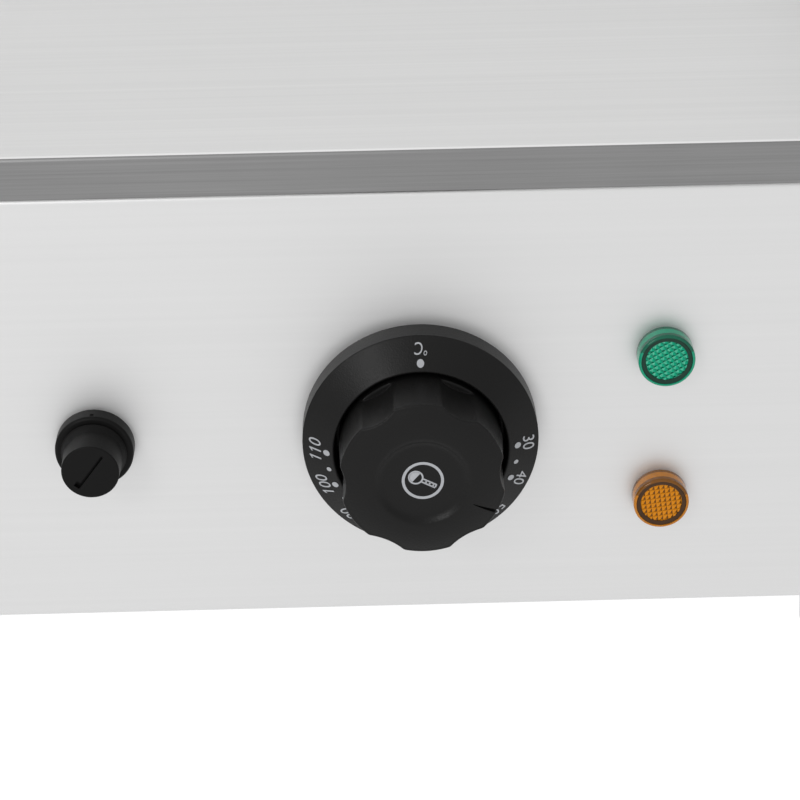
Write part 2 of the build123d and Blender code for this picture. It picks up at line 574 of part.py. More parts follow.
def lens(colour):
    """Clear coloured cap of a pilot lamp, hollow behind its face."""
    outline = [(5.0, 0), (LENS_R, 0), (LENS_R, LENS_H - 1.6), (LENS_R - 0.5, LENS_H - 0.6),
               (LENS_R - 1.5, LENS_H - 0.1), (0, LENS_H), (0, LENS_H - 1.6), (5.0, LENS_H - 1.6)]
    return turned(LAMP_X, lamp_z(colour), outline)


def lamp_body(colour):
    """Lamp holder behind the panel, with the neon tube's window and two terminals."""
    x, z = LAMP_X, lamp_z(colour)
    body = rod_y(x, z, FRONT, FRONT + LAMP_BODY_L, LAMP_BODY_R)
    body += rod_y(x, z, FRONT - 3, FRONT, 4.2)
    rear = FRONT + LAMP_BODY_L
    for tab_z in (z - 2.5, z + 2.5):
        body += span(x - 1.4, x + 1.4, rear - 0.5, rear + 8, tab_z - 0.25, tab_z + 0.25)
    return body


def lamp_clips():
    """Push-on retaining rings behind the panel."""
    rings = []
    for colour in ("green", "amber"):
        z = lamp_z(colour)
        ring = rod_y(LAMP_X, z, FRONT + SHEET, FRONT + SHEET + 2, 9.0)
        rings.append(ring - rod_y(LAMP_X, z, FRONT, FRONT + 5, LAMP_BODY_R + 0.05))
    return group(rings)


# ---- grease drawer --------------------------------------------------------------------------------
DRAWER_FRONT_Y = FRONT - FACE_GAP
DRAWER_X0, DRAWER_X1 = DRAWER_X - DRAWER_W / 2, DRAWER_X + DRAWER_W / 2
FACE_Y = DRAWER_FRONT_Y - FACE_T
HANDLE_Z = DRAWER_Z + DRAWER_H / 2 - 1
HANDLE_SCREW_R = 1.9


def drawer_pan():
    """Open pan that catches the grease."""
    y0, y1, top = DRAWER_FRONT_Y, DRAWER_FRONT_Y + DRAWER_L, DRAWER_Z + DRAWER_H
    pan = span(DRAWER_X0, DRAWER_X1, y0, y1, DRAWER_Z, top)
    pan = fillet(pan.edges().filter_by(Axis.Z), 3.0)
    t = 0.9
    hollow = span(DRAWER_X0 + t, DRAWER_X1 - t, y0 + t, y1 - t, DRAWER_Z + t, top + 1)
    pan -= fillet(hollow.edges().filter_by(Axis.Z), 3.0 - t)
    for side in (-1, 1):
        pan -= rod_y(DRAWER_X + side * HANDLE_W / 2, HANDLE_Z, DRAWER_FRONT_Y - 1, DRAWER_FRONT_Y + 2, 2.1)
    return pan


def drawer_front():
    """Drawer face that overlaps the opening in the control panel."""
    face = span(DRAWER_X - FACE_W / 2, DRAWER_X + FACE_W / 2, FACE_Y, DRAWER_FRONT_Y, DRAWER_Z - 9,
                DRAWER_Z - 9 + FACE_H)
    face = fillet(face.edges().filter_by(Axis.Y), 3.0)
    face = fillet(face.faces().sort_by(Axis.Y)[0].edges(), 0.6)
    for side in (-1, 1):
        face -= rod_y(DRAWER_X + side * HANDLE_W / 2, HANDLE_Z, FACE_Y - 1, DRAWER_FRONT_Y + 1, 2.1)
    return face


def drawer_handle():
    """Bow handle with a foot at each end."""
    x0, x1, far = DRAWER_X - HANDLE_W / 2, DRAWER_X + HANDLE_W / 2, FRONT - HANDLE_REACH + HANDLE_R
    route = [(x0, FACE_Y, HANDLE_Z), (x0, far, HANDLE_Z), (x1, far, HANDLE_Z), (x1, FACE_Y, HANDLE_Z)]
    bow = tube_along(route, [12.0, 12.0], HANDLE_R)
    for x in (x0, x1):
        bow += rod_y(x, HANDLE_Z, FACE_Y - 2.0, FACE_Y, 6.0)
        bow -= rod_y(x, HANDLE_Z, FACE_Y - 8, FACE_Y + 1, HANDLE_SCREW_R + 0.05)
    return bow


def handle_screws():
    screws = []
    for side in (-1, 1):
        screws.append(Pos(DRAWER_X + side * HANDLE_W / 2, DRAWER_FRONT_Y + 0.9, HANDLE_Z) * Rot(-90, 0, 0)
                      * pan_head(reach=9.0, head_r=3.6, head_h=2.2))
    return group(screws)


def drawer_runner(side):
    """Angle runner on the base pan: a foot flange, a web and the ledge the drawer slides on."""
    edge = DRAWER_X + side * (DRAWER_W / 2 + 1.4)
    length = (FRONT + 18, FRONT + 290)
    web = span(edge, edge + side * SHEET, *length, FLOOR_TOP, DRAWER_Z + 12)
    foot = span(edge, edge + side * 9, *length, FLOOR_TOP, FLOOR_TOP + SHEET)
    ledge = span(edge - side * 12, edge + side * SHEET, *length, DRAWER_Z - 0.2 - SHEET, DRAWER_Z - 0.2)
    return web + foot + ledge


def electrics_partition():
    """Wall between the drawer space and the wiring, with a foot flange."""
    front, back = FRONT + RETURN + 2, BACK - 6
    wall = span(PARTITION_X, PARTITION_X + TRAY_T, front, back, FLOOR_TOP, TRAY_BOTTOM - 0.5)
    return wall + span(PARTITION_X, PARTITION_X + 12, front, back, FLOOR_TOP, FLOOR_TOP + TRAY_T)


# ---- electrics ------------------------------------------------------------------------------------
BUS_LIVE_Y, BUS_NEUTRAL_Y = TRAY_FRONT - 16.0, TRAY_FRONT - 21.0
BLOCK_X, BLOCK_Y, BLOCK_Z = 200.0, BACK - 52.0, FLOOR_TOP
BLOCK_PITCH, LEAD_R = 16.0, 1.6


def terminal_xs(kind):
    """The element pins that each bus bar joins."""
    k = -3 if kind == "live" else 3
    return [c + k * LEG_PITCH / 2 for c in element_centres().values()]


def bus_bar(kind):
    """Copper strip across the element pins: close holes on its own pins, wide ones round the others."""
    y = BUS_LIVE_Y if kind == "live" else BUS_NEUTRAL_Y
    own, other = terminal_xs(kind), terminal_xs("neutral" if kind == "live" else "live")
    bar = span(min(own) - 8, max(own) + 8, y, y + 1, ELEMENT_Z - 8, ELEMENT_Z + 3.5)
    for x in own:
        bar -= rod_y(x, ELEMENT_Z, y - 1, y + 2, 2.0)
    for x in other:
        if min(own) < x < max(own):
            bar -= span(x - 4.5, x + 4.5, y - 1, y + 2, ELEMENT_Z - 4, ELEMENT_Z + 5)
    return bar


def terminal_nuts():
    nuts = []
    for kind, y in (("live", BUS_LIVE_Y), ("neutral", BUS_NEUTRAL_Y)):
        nuts += [hex_y(x, ELEMENT_Z, y - 2.6, y, 7, 2.0) for x in terminal_xs(kind)]
    return group(nuts)


def mains_terminal_block():
    """Ceramic block with three ways."""
    block = span(BLOCK_X - 26, BLOCK_X + 26, BLOCK_Y - 11, BLOCK_Y + 11, BLOCK_Z, BLOCK_Z + 20)
    block = fillet(block.edges().filter_by(Axis.Z), 2.0)
    for k in (-1, 0, 1):
        x = BLOCK_X + k * BLOCK_PITCH
        block -= rod_y(x, BLOCK_Z + 9, BLOCK_Y - 12, BLOCK_Y + 12, 3.0)
        for dy in (-5, 5):
            block -= rod_z(x, BLOCK_Y + dy, BLOCK_Z + 9, BLOCK_Z + 21, 2.6)
    return block


def terminal_screws():
    """Slotted clamp screws of the terminal block."""
    screws = []
    for k in (-1, 0, 1):
        for dy in (-5, 5):
            screw = rod_z(BLOCK_X + k * BLOCK_PITCH, BLOCK_Y + dy, BLOCK_Z + 12.2, BLOCK_Z + 18.5, 2.5)
            screw -= span(BLOCK_X + k * BLOCK_PITCH - 3, BLOCK_X + k * BLOCK_PITCH + 3, BLOCK_Y + dy - 0.4,
                          BLOCK_Y + dy + 0.4, BLOCK_Z + 17.5, BLOCK_Z + 19)
            screws.append(screw)
    return group(screws)


def cable_gland():
    """Compression gland through the back panel, with a hexagon and a domed nut."""
    x, z = GLAND_X, GLAND_Z
    gland = rod_y(x, z, BACK - 12, BACK + 2, 8.0)
    hexagon = Pos(x, BACK + 7, z) * Rot(90, 0, 0) * extrude(RegularPolygon(11, 6, major_radius=False), 7)
    outline = [(0, -7), (10.4, -7), (10.4, -16), (8.6, -21.5), (7.4, -GLAND_REACH), (0, -GLAND_REACH)]
    dome = turned(x, z, outline, BACK)
    gland += hexagon + dome
    for i in range(12):
        angle = radians(i * 30)
        gland -= rod_y(x + 10.9 * cos(angle), z + 10.9 * sin(angle), BACK + 8.5, BACK + 17, 1.0)
    return gland - rod_y(x, z, BACK - 13, BACK + GLAND_REACH + 1, GLAND_BORE)


def gland_locknut():
    return hex_y(GLAND_X, GLAND_Z, BACK - SHEET - 5, BACK - SHEET, 22, 8.05)


def bonding_stud():
    """Equipotential bonding stud with its flange."""
    stud = rod_y(BOND_X, BOND_Z, BACK - BOND_IN, BACK + BOND_OUT, BOND_R)
    return stud + rod_y(BOND_X, BOND_Z, BACK, BACK + 1.5, 7.0)


def bonding_stud_nut():
    return hex_y(BOND_X, BOND_Z, BACK - SHEET - 5, BACK - SHEET, 10, BOND_R + 0.05)


def lead(points):
    """An insulated lead through hand-set points, each bend as wide as its two runs allow."""
    corners = [Vector(*p) for p in points]
    radii = []
    for before, here, after in zip(corners, corners[1:], corners[2:]):
        turn = radians((here - before).get_angle(after - here))
        radii.append(0.45 * min((here - before).length, (after - here).length) / tan(turn / 2))
    print("lead bend radii", [round(r) for r in radii])
    return tube_along(points, radii, LEAD_R)


def internal_wires():
    """Leads between the terminal block, the limiter, the thermostat, the bus bars and the bonding stud."""
    way_y, way_z = BLOCK_Y - 7, BLOCK_Z + 9
    limiter_y, limiter_z = LIMITER_REAR + 8.6, RESET_Z - 9
    thermostat_y, thermostat_z = THERMOSTAT_REAR + 8.6, DIAL_Z - 10
    bus_z = ELEMENT_Z - 8.6
    live = [(BLOCK_X - BLOCK_PITCH, way_y, way_z), (184, 112, 52), (173, 62, 56), (150, 14, 60),
            (120, -30, 62), (88, -68, 66), (58, -100, 72), (35, -128, 82),
            (RESET_X + 8, limiter_y, limiter_z)]
    link = [(RESET_X - 8, limiter_y, limiter_z), (17, -135, 84), (38, -116, 80), (70, -114, 78),
            (92, -132, 82), (DIAL_X - 10, thermostat_y, thermostat_z)]
    switched = [(DIAL_X + 10, thermostat_y, thermostat_z), (121, -139, 90), (118, -131, 108),
                (112, -138, 130), (108, BUS_LIVE_Y + 0.5, bus_z)]
    neutral = [(BLOCK_X, way_y, way_z), (200, 104, 52), (210, 56, 54), (222, 6, 58), (232, -44, 64),
               (236, -92, 76), (236, -128, 100), (234, -142, 128), (231, BUS_NEUTRAL_Y + 0.5, bus_z)]
    earth = [(BLOCK_X + BLOCK_PITCH, way_y, way_z), (214, 114, 53), (192, 92, 57), (165, 106, 62),
             (152, 148, 65), (BOND_X, BACK - BOND_IN - 0.6, BOND_Z)]
    return group([lead(route) for route in (live, link, switched, neutral, earth)])


# ---- feet -----------------------------------------------------------------------------------------
def foot_places():
    return [(sx * FOOT_X, y) for y in (FRONT + FOOT_INSET, BACK - FOOT_INSET) for sx in (-1, 1)]


def foot(x, y):
    """Tapered rubber foot with a recess for its bolt head."""
    top = BODY_BOTTOM + SHEET
    outline = [(8.0, 0), (FOOT_BOTTOM_R - 1.5, 0), (FOOT_BOTTOM_R, 1.5), (FOOT_TOP_R - 0.6, top - 6),
               (FOOT_TOP_R, top - 5), (FOOT_TOP_R, top), (3.25, top), (3.25, 28), (8.0, 28)]
    return turned_z(x, y, 0, outline)


def foot_bolts():
    bolts = []
    for x, y in foot_places():
        bolts.append(hex_z(x, y, 24, 28, 10, 0) + rod_z(x, y, 24, FLOOR_TOP + 9, 3.0))
    return group(bolts)


def foot_nuts():
    return group([hex_z(x, y, FLOOR_TOP, FLOOR_TOP + 5, 10, 3.05) for x, y in foot_places()])


# ---- assembly -------------------------------------------------------------------------------------
def build():
    add("control_panel", control_panel())
    add("left_side_panel", side_panel(-1))
    add("right_side_panel", side_panel(1))
    add("back_panel", back_panel())
    add("base_pan", base_pan())
    add("body_screws", body_screws())
    add("griddle_plate", griddle_plate())
    add("splash_guard", splash_guard())
    add("grease_chute", grease_chute())
    add("plate_studs", plate_studs())
    add("stud_nuts", stud_nuts())
    for name, x in element_centres().items():
        add(f"heating_element_{name}", heating_element(x))
    add("element_clamp_bars", clamp_bars())
    add("reflector_tray", reflector_tray())
    add("tray_screws", tray_screws())
    add("insulation_board", insulation_board())
    add("thermostat_body", thermostat_body())
    add("thermostat_shaft", thermostat_shaft())
    add("thermostat_bulb", sensor(THERMOSTAT_BULB_X, -147.0, DIAL_X - 8, THERMOSTAT_REAR, DIAL_Z + 10))
    add("limiter_body", limiter_body())
    add("limiter_bulb", sensor(LIMITER_BULB_X, -151.0, RESET_X - 6, LIMITER_REAR, RESET_Z + 8))
    add("bulb_clips", bulb_clips())
    add("dial_bezel", dial_bezel())
    add("bezel_screws", bezel_screws())
    add("knob_grip", knob_grip())
    add("knob_insert", knob_insert())
    add("reset_collar", reset_collar())
    add("reset_cap_washer", reset_cap_washer())
    add("reset_cap", reset_cap())
    add("reset_button", reset_button())
    for colour in ("green", "amber"):
        add(f"{colour}_lens", lens(colour))
        add(f"{colour}_lamp_body", lamp_body(colour))
    add("lamp_clips", lamp_clips())
    add("drawer_pan", drawer_pan())
    add("drawer_front", drawer_front())
    add("drawer_handle", drawer_handle())
    add("handle_screws", handle_screws())
    add("drawer_runner_left", drawer_runner(-1))
    add("drawer_runner_right", drawer_runner(1))
    add("electrics_partition", electrics_partition())
    add("bus_bar_live", bus_bar("live"))
    add("bus_bar_neutral", bus_bar("neutral"))
    add("terminal_nuts", terminal_nuts())
    add("mains_terminal_block", mains_terminal_block())
    add("terminal_screws", terminal_screws())
    add("cable_gland", cable_gland())
    add("gland_locknut", gland_locknut())
    add("bonding_stud", bonding_stud())
    add("bonding_stud_nut", bonding_stud_nut())
    add("internal_wires", internal_wires())
    for name, (x, y) in zip(("front_left", "front_right", "rear_left", "rear_right"), foot_places()):
        add(f"foot_{name}", foot(x, y))
    add("foot_bolts", foot_bolts())
    add("foot_nuts", foot_nuts())


build()
os.makedirs("parts", exist_ok=True)
for part_name, part_shape in PARTS.items():
    export_step(part_shape, f"parts/{part_name}.step")
print(len(PARTS), "nodes")
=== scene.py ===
"""Looks of a countertop flat top griddle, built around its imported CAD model."""
import json
from math import atan2, cos, pi, radians, sin, tan

import bpy
from mathutils import Matrix, Vector

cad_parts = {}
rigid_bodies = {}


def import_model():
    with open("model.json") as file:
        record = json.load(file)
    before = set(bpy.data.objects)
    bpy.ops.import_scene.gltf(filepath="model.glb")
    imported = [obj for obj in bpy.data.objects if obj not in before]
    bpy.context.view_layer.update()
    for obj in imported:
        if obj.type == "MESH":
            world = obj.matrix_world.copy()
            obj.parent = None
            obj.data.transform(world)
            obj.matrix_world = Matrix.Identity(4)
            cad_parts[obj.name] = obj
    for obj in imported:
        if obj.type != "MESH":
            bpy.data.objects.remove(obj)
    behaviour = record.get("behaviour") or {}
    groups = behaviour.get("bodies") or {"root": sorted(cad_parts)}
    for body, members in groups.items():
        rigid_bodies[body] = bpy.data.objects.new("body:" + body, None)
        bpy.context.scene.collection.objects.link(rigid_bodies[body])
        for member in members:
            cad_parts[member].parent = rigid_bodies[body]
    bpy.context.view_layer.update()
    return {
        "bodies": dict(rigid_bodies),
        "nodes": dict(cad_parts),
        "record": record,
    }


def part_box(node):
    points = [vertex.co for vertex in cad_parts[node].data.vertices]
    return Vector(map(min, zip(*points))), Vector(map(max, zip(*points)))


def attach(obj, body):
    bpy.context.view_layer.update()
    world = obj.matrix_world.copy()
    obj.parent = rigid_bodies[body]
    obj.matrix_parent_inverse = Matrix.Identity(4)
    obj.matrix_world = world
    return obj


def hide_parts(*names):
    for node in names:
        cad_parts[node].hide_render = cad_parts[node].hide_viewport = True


bl_info = {
    "name": "Flat top griddle",
    "version": (1, 0, 0),
    "blender": (4, 5, 0),
    "location": "View3D > Sidebar > Griddle",
    "description": "Detailed pieces, finishes and a studio stage for a flat top griddle",
    "category": "Object",
}

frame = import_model()
MM = 0.001                    # sizes in this file are in millimetres times MM
MERGE = 0.002 * MM            # points nearer than this are one point


def middle(node):
    """Middle of a CAD node's box."""
    low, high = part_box(node)
    return (low + high) / 2


PANEL_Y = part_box("control_panel")[0].y
DIAL = middle("dial_bezel")
RESET = middle("reset_cap_washer")
NODE_SLOTS = {part["node"]: part["material_slot"] for part in frame["record"]["subparts"]}


# ---- sizes and colours a user would change ----------------------------------------------------
def length(name, description, default):
    return bpy.props.FloatProperty(name=name, description=description, default=default, unit="LENGTH",
                                   precision=4)


def colour(name, description, default):
    return bpy.props.FloatVectorProperty(name=name, description=description, default=default,
                                         subtype="COLOR", size=3, min=0.0, max=1.0)


class GriddleSizes(bpy.types.PropertyGroup):
    """Sizes of the detailed pieces."""

    dial_radius: length("Dial ring radius", "Outer radius of the printed ring round the knob", 31.4 * MM)
    grip_radius: length("Knob radius", "Radius of the knob over its lobes", 21.7 * MM)
    grip_reach: length("Knob reach", "Knob face in front of the panel", 29.0 * MM)
    flute_radius: length("Flute radius", "Radius of the finger flutes round the knob", 13.0 * MM)
    flute_offset: length("Flute offset", "Distance of a flute's centre from the knob axis", 33.05 * MM)
    number_size: length("Number size", "Letter size of the dial numbers", 4.5 * MM)
    collar_radius: length("Reset collar radius", "Radius of the reset button's collar", 10.5 * MM)
    lens_radius: length("Lens radius", "Radius of a pilot lamp lens", 7.5 * MM)
    plate_edge: length("Plate edge rounding", "Rounding of the cooking plate's edges", 0.9 * MM)
    facet_pitch: length("Lens facet pitch", "Spacing of the pyramids in a pilot lens", 1.36 * MM)


class GriddleColours(bpy.types.PropertyGroup):
    """Colours of the finishes."""

    sheet: colour("Stainless sheet", "Satin stainless bodywork", (0.672, 0.672, 0.672))
    plate_top: colour("Plate top", "Ground cooking surface", (0.715, 0.715, 0.712))
    # Painted shade: the plate's edge is the same steel as its top, made this much darker
    plate_edge: colour("Plate edge", "Milled edge of the cooking plate", (0.235, 0.235, 0.235))
    plastic: colour("Black plastic", "Moulded knob, ring and reset cap", (0.0062, 0.0061, 0.0060))
    print_grey: colour("Print", "Pad-printed marks", (0.37, 0.38, 0.40))
    green: colour("Green lens", "Clear coloured cap of the upper lamp", (0.002, 0.36, 0.20))
    amber: colour("Amber lens", "Clear coloured cap of the lower lamp", (0.60, 0.215, 0.005))


def sizes():
    return bpy.context.scene.griddle_sizes


def colours():
    return bpy.context.scene.griddle_colours


# ---- shared shader groups ---------------------------------------------------------------------
def new_group(name, inputs, outputs):
    """An empty shader node group with named sockets; returns the group, its input and its output node."""
    group = bpy.data.node_groups.new(name, "ShaderNodeTree")
    for title, kind, default in inputs:
        socket = group.interface.new_socket(name=title, in_out="INPUT", socket_type=kind)
        socket.default_value = default
    for title, kind in outputs:
        group.interface.new_socket(name=title, in_out="OUTPUT", socket_type=kind)
    return group, group.nodes.new("NodeGroupInput"), group.nodes.new("NodeGroupOutput")


def between(tree, value, low, high):
    """A Map Range node that spreads a 0 to 1 value over low to high."""
    node = tree.nodes.new("ShaderNodeMapRange")
    tree.links.new(value, node.inputs["Value"])
    node.inputs["To Min"].default_value = low
    node.inputs["To Max"].default_value = high
    return node


def brushed_grain():
    """Fine parallel lines left by brushing or grinding, with slow patches in how strong they are."""
    if "brushed_grain" in bpy.data.node_groups:
        return bpy.data.node_groups["brushed_grain"]
    group, given, result = new_group(
        "brushed_grain",
        [("Stretch", "NodeSocketVector", (3.0, 700.0, 700.0)), ("Patch Size", "NodeSocketFloat", 14.0)],
        [("Lines", "NodeSocketFloat"), ("Patches", "NodeSocketFloat")])
    place = group.nodes.new("ShaderNodeTexCoord")
    stretched = group.nodes.new("ShaderNodeVectorMath")
    stretched.operation = "MULTIPLY"
    group.links.new(place.outputs["Object"], stretched.inputs[0])
    group.links.new(given.outputs["Stretch"], stretched.inputs[1])
    lines = group.nodes.new("ShaderNodeTexNoise")
    lines.inputs["Scale"].default_value = 1.0
    lines.inputs["Detail"].default_value = 4.0
    lines.inputs["Roughness"].default_value = 0.65
    group.links.new(stretched.outputs[0], lines.inputs["Vector"])
    patches = group.nodes.new("ShaderNodeTexNoise")
    patches.inputs["Detail"].default_value = 3.0
    group.links.new(place.outputs["Object"], patches.inputs["Vector"])
    group.links.new(given.outputs["Patch Size"], patches.inputs["Scale"])
    sharper = group.nodes.new("ShaderNodeMapRange")
    sharper.inputs["From Min"].default_value = 0.3
    sharper.inputs["From Max"].default_value = 0.7
    group.links.new(lines.outputs["Fac"], sharper.inputs["Value"])
    group.links.new(sharper.outputs["Result"], result.inputs["Lines"])
    group.links.new(patches.outputs["Fac"], result.inputs["Patches"])
    return group


def moulded_grain():
    """Fine pebbled texture of moulded plastic or rubber, with soft patches where it is handled."""
    if "moulded_grain" in bpy.data.node_groups:
        return bpy.data.node_groups["moulded_grain"]
    group, given, result = new_group(
        "moulded_grain",
        [("Grain Scale", "NodeSocketFloat", 3000.0), ("Patch Size", "NodeSocketFloat", 60.0)],
        [("Grain", "NodeSocketFloat"), ("Patches", "NodeSocketFloat")])
    place = group.nodes.new("ShaderNodeTexCoord")
    pebbles = group.nodes.new("ShaderNodeTexVoronoi")
    pebbles.feature = "SMOOTH_F1"
    speckle = group.nodes.new("ShaderNodeTexNoise")
    speckle.inputs["Detail"].default_value = 2.0
    patches = group.nodes.new("ShaderNodeTexNoise")
    patches.inputs["Detail"].default_value = 4.0
    for node, socket in ((pebbles, "Grain Scale"), (speckle, "Grain Scale"), (patches, "Patch Size")):
        group.links.new(place.outputs["Object"], node.inputs["Vector"])
        group.links.new(given.outputs[socket], node.inputs["Scale"])
    both = group.nodes.new("ShaderNodeMath")
    both.operation = "MULTIPLY"
    group.links.new(pebbles.outputs["Distance"], both.inputs[0])
    group.links.new(speckle.outputs["Fac"], both.inputs[1])
    group.links.new(both.outputs["Value"], result.inputs["Grain"])
    group.links.new(patches.outputs["Fac"], result.inputs["Patches"])
    return group


def finish(name, base, rough, metallic=0.0, stretch=None, grain=3000.0, tone=0.06, patch_tone=0.03,
           rough_spread=0.06, bump=0.02, depth=0.00004, patch_size=14.0, **plain):
    """A finish with its colour, roughness and relief varied by the brushed or the moulded grain."""
    name += "_finish"
    if name in bpy.data.materials:
        return bpy.data.materials[name]
    material = bpy.data.materials.new(name)
    material.use_nodes = True
    tree = material.node_tree
    shader = tree.nodes["Principled BSDF"]
    shader.inputs["Metallic"].default_value = metallic
    for socket, value in plain.items():
        shader.inputs[socket.replace("_", " ")].default_value = value
    shared = tree.nodes.new("ShaderNodeGroup")
    if stretch:
        shared.node_tree = brushed_grain()
        shared.inputs["Stretch"].default_value = stretch
        fine = shared.outputs["Lines"]
    else:
        shared.node_tree = moulded_grain()
        shared.inputs["Grain Scale"].default_value = grain
        fine = shared.outputs["Grain"]
    shared.inputs["Patch Size"].default_value = patch_size
    patches = shared.outputs["Patches"]
    fine_tone = tree.nodes.new("ShaderNodeMix")
    fine_tone.data_type = "RGBA"
    fine_tone.inputs["A"].default_value = [c * (1 - tone) for c in base] + [1]
    fine_tone.inputs["B"].default_value = [min(c * (1 + tone), 1) for c in base] + [1]
    tree.links.new(fine, fine_tone.inputs["Factor"])
    shade = between(tree, patches, 1 - patch_tone * 2, 1 + patch_tone * 2)
    toned = tree.nodes.new("ShaderNodeVectorMath")
    toned.operation = "SCALE"
    tree.links.new(fine_tone.outputs["Result"], toned.inputs[0])
    tree.links.new(shade.outputs["Result"], toned.inputs["Scale"])
    tree.links.new(toned.outputs[0], shader.inputs["Base Color"])
    roughness = between(tree, patches, rough - rough_spread, rough + rough_spread)
    tree.links.new(roughness.outputs["Result"], shader.inputs["Roughness"])
    relief = tree.nodes.new("ShaderNodeBump")
    relief.inputs["Strength"].default_value = bump
    relief.inputs["Distance"].default_value = depth
    tree.links.new(fine, relief.inputs["Height"])
    tree.links.new(relief.outputs["Normal"], shader.inputs["Normal"])
    return material


# how much finer the lines are along each axis than along the way the sheet was brushed
ACROSS = (3.0, 700.0, 700.0)
ALONG = (700.0, 3.0, 700.0)


def sheet_across():
    return finish("stainless_sheet_across", colours().sheet, 0.52, 1.0, ACROSS, tone=0.012,
                  patch_tone=0.008, rough_spread=0.03, bump=0.03)


def sheet_along():
    return finish("stainless_sheet_along", colours().sheet, 0.40, 1.0, ALONG, tone=0.02,
                  patch_tone=0.012, rough_spread=0.04, bump=0.04)


def black_plastic():
    return finish("black_plastic", colours().plastic, 0.37, grain=2600.0, tone=0.10, patch_tone=0.05,
                  rough_spread=0.04, bump=0.8, depth=0.0001, patch_size=45.0,
                  Specular_IOR_Level=0.16)


def reset_plastic():
    """The reset button's blacker, less glossy plastic."""
    return finish("reset_plastic", [c * 0.85 for c in colours().plastic], 0.42, grain=2200.0, tone=0.10,
                  patch_tone=0.05, rough_spread=0.04, bump=0.2, depth=0.00004, patch_size=70.0,
                  Specular_IOR_Level=0.09)


BRUSHED_ALONG = ("left_side_panel", "right_side_panel", "drawer_runner_left", "drawer_runner_right",
                 "electrics_partition")


def print_ink():
    """Pad-printed marks on the dial and the knob."""
    return finish("printed_marks", colours().print_grey, 0.6, grain=1200.0, tone=0.08, patch_tone=0.05,
                  bump=0.1)


def slot_finish(slot, node):
    """The finish of a carried-over CAD node, from its slot in the record."""
    if slot == "stainless_sheet":
        return sheet_along() if node in BRUSHED_ALONG else sheet_across()
    makers = {
        "ground_plate": lambda: finish("ground_plate", colours().plate_top, 0.36, 1.0, ACROSS),
        "plain_steel": lambda: finish("zinc_plated_steel", (0.55, 0.55, 0.53), 0.34, 1.0, grain=900.0,
                                      tone=0.10, patch_tone=0.06, bump=0.10),
        "bright_tray": lambda: finish("aluminised_tray", (0.74, 0.74, 0.75), 0.30, 1.0, grain=260.0,
                                      tone=0.10, patch_tone=0.05, bump=0.10),
        "element_sheath": lambda: finish("heat_darkened_sheath", (0.20, 0.17, 0.15), 0.50, 1.0,
                                         grain=700.0, tone=0.20, patch_tone=0.15, bump=0.20),
        "black_plastic": black_plastic,
        "control_housing": lambda: finish("control_housing", (0.58, 0.55, 0.47), 0.50, grain=1500.0,
                                          tone=0.04, bump=0.2),
        "copper": lambda: finish("bare_copper", (0.80, 0.42, 0.28), 0.33, 1.0, grain=500.0, tone=0.12,
                                 patch_tone=0.10),
        "brass": lambda: finish("machined_brass", (0.78, 0.60, 0.28), 0.30, 1.0, (900.0, 900.0, 900.0),
                                tone=0.06, patch_tone=0.05),
        "lamp_housing": lambda: finish("lamp_housing", (0.78, 0.78, 0.74), 0.35, grain=1800.0,
                                       tone=0.02, bump=0.1),
        "ceramic": lambda: finish("glazed_ceramic", (0.86, 0.84, 0.79), 0.22, grain=400.0, tone=0.03,
                                  bump=0.08, Coat_Weight=0.4),
        "mineral_board": lambda: finish("mineral_board", (0.62, 0.58, 0.47), 0.9, grain=420.0, tone=0.18,
                                        patch_tone=0.08, bump=0.6, depth=0.0004),
        "lead_insulation": lambda: finish("silicone_leads", (0.42, 0.07, 0.035), 0.48, grain=900.0,
                                          tone=0.06, bump=0.1),
        "foot_rubber": lambda: finish("foot_rubber", (0.022, 0.022, 0.022), 0.72, grain=1300.0,
                                      tone=0.18, patch_tone=0.12, bump=0.4, depth=0.0001),
        "seal_rubber": lambda: finish("seal_rubber", (0.02, 0.02, 0.02), 0.7, grain=1500.0, tone=0.15,
                                      bump=0.3),
        "green_lens": lambda: clear_plastic("green_lens_plastic", colours().green),
        "amber_lens": lambda: clear_plastic("amber_lens_plastic", colours().amber),
    }
    return makers[slot]()


def clear_plastic(name, tint, shade=1.0):
    """Clear coloured plastic; moulding marks vary its roughness and surface. The shade factor scales the
    tint, which gives the lens wall its brightened and painted shade copies.
    """
    return finish(name, [c * shade for c in tint], 0.14, grain=500.0, tone=0.05, patch_tone=0.04,
                  rough_spread=0.03, bump=0.05, depth=0.0001, patch_size=160.0, Transmission_Weight=0.3,
                  IOR=1.49, Specular_IOR_Level=0.25)


# ---- modelling helpers ------------------------------------------------------------------------
def deselect_all():
    current = bpy.context.view_layer.objects.active
    if current and current.mode != "OBJECT":
        bpy.ops.object.mode_set(mode="OBJECT")
    bpy.ops.object.select_all(action="DESELECT")


def select_only(*pieces):
    deselect_all()
    for piece in pieces:
        piece.select_set(True)
    bpy.context.view_layer.objects.active = pieces[0]


def settle(piece):
    """Bring the object to the origin, unturned and unscaled, with its place in its mesh."""
    select_only(piece)
    bpy.ops.object.transform_apply(location=True, rotation=True, scale=True)


def tidy_mesh(piece):
    """Merge doubles and turn the faces outward."""
    select_only(piece)
    bpy.ops.object.mode_set(mode="EDIT")
    bpy.ops.mesh.select_all(action="SELECT")
    bpy.ops.mesh.remove_doubles(threshold=MERGE)
    bpy.ops.mesh.normals_make_consistent(inside=False)
    bpy.ops.object.mode_set(mode="OBJECT")


def apply_modifier(piece, title, kind, **settings):
    select_only(piece)
    modifier = piece.modifiers.new(title, kind)
    for key, value in settings.items():
        setattr(modifier, key, value)
    bpy.ops.object.modifier_apply(modifier=modifier.name)


def smooth(piece, angle=32.0):
    """Smooth shading that keeps hard edges, with the large faces ruling the normals."""
    select_only(piece)
    bpy.ops.object.shade_smooth_by_angle(angle=radians(angle))
    apply_modifier(piece, "Even shading", "WEIGHTED_NORMAL", keep_sharp=True, weight=100)


def paint(piece, material):
    piece.data.materials.clear()
    piece.data.materials.append(material)


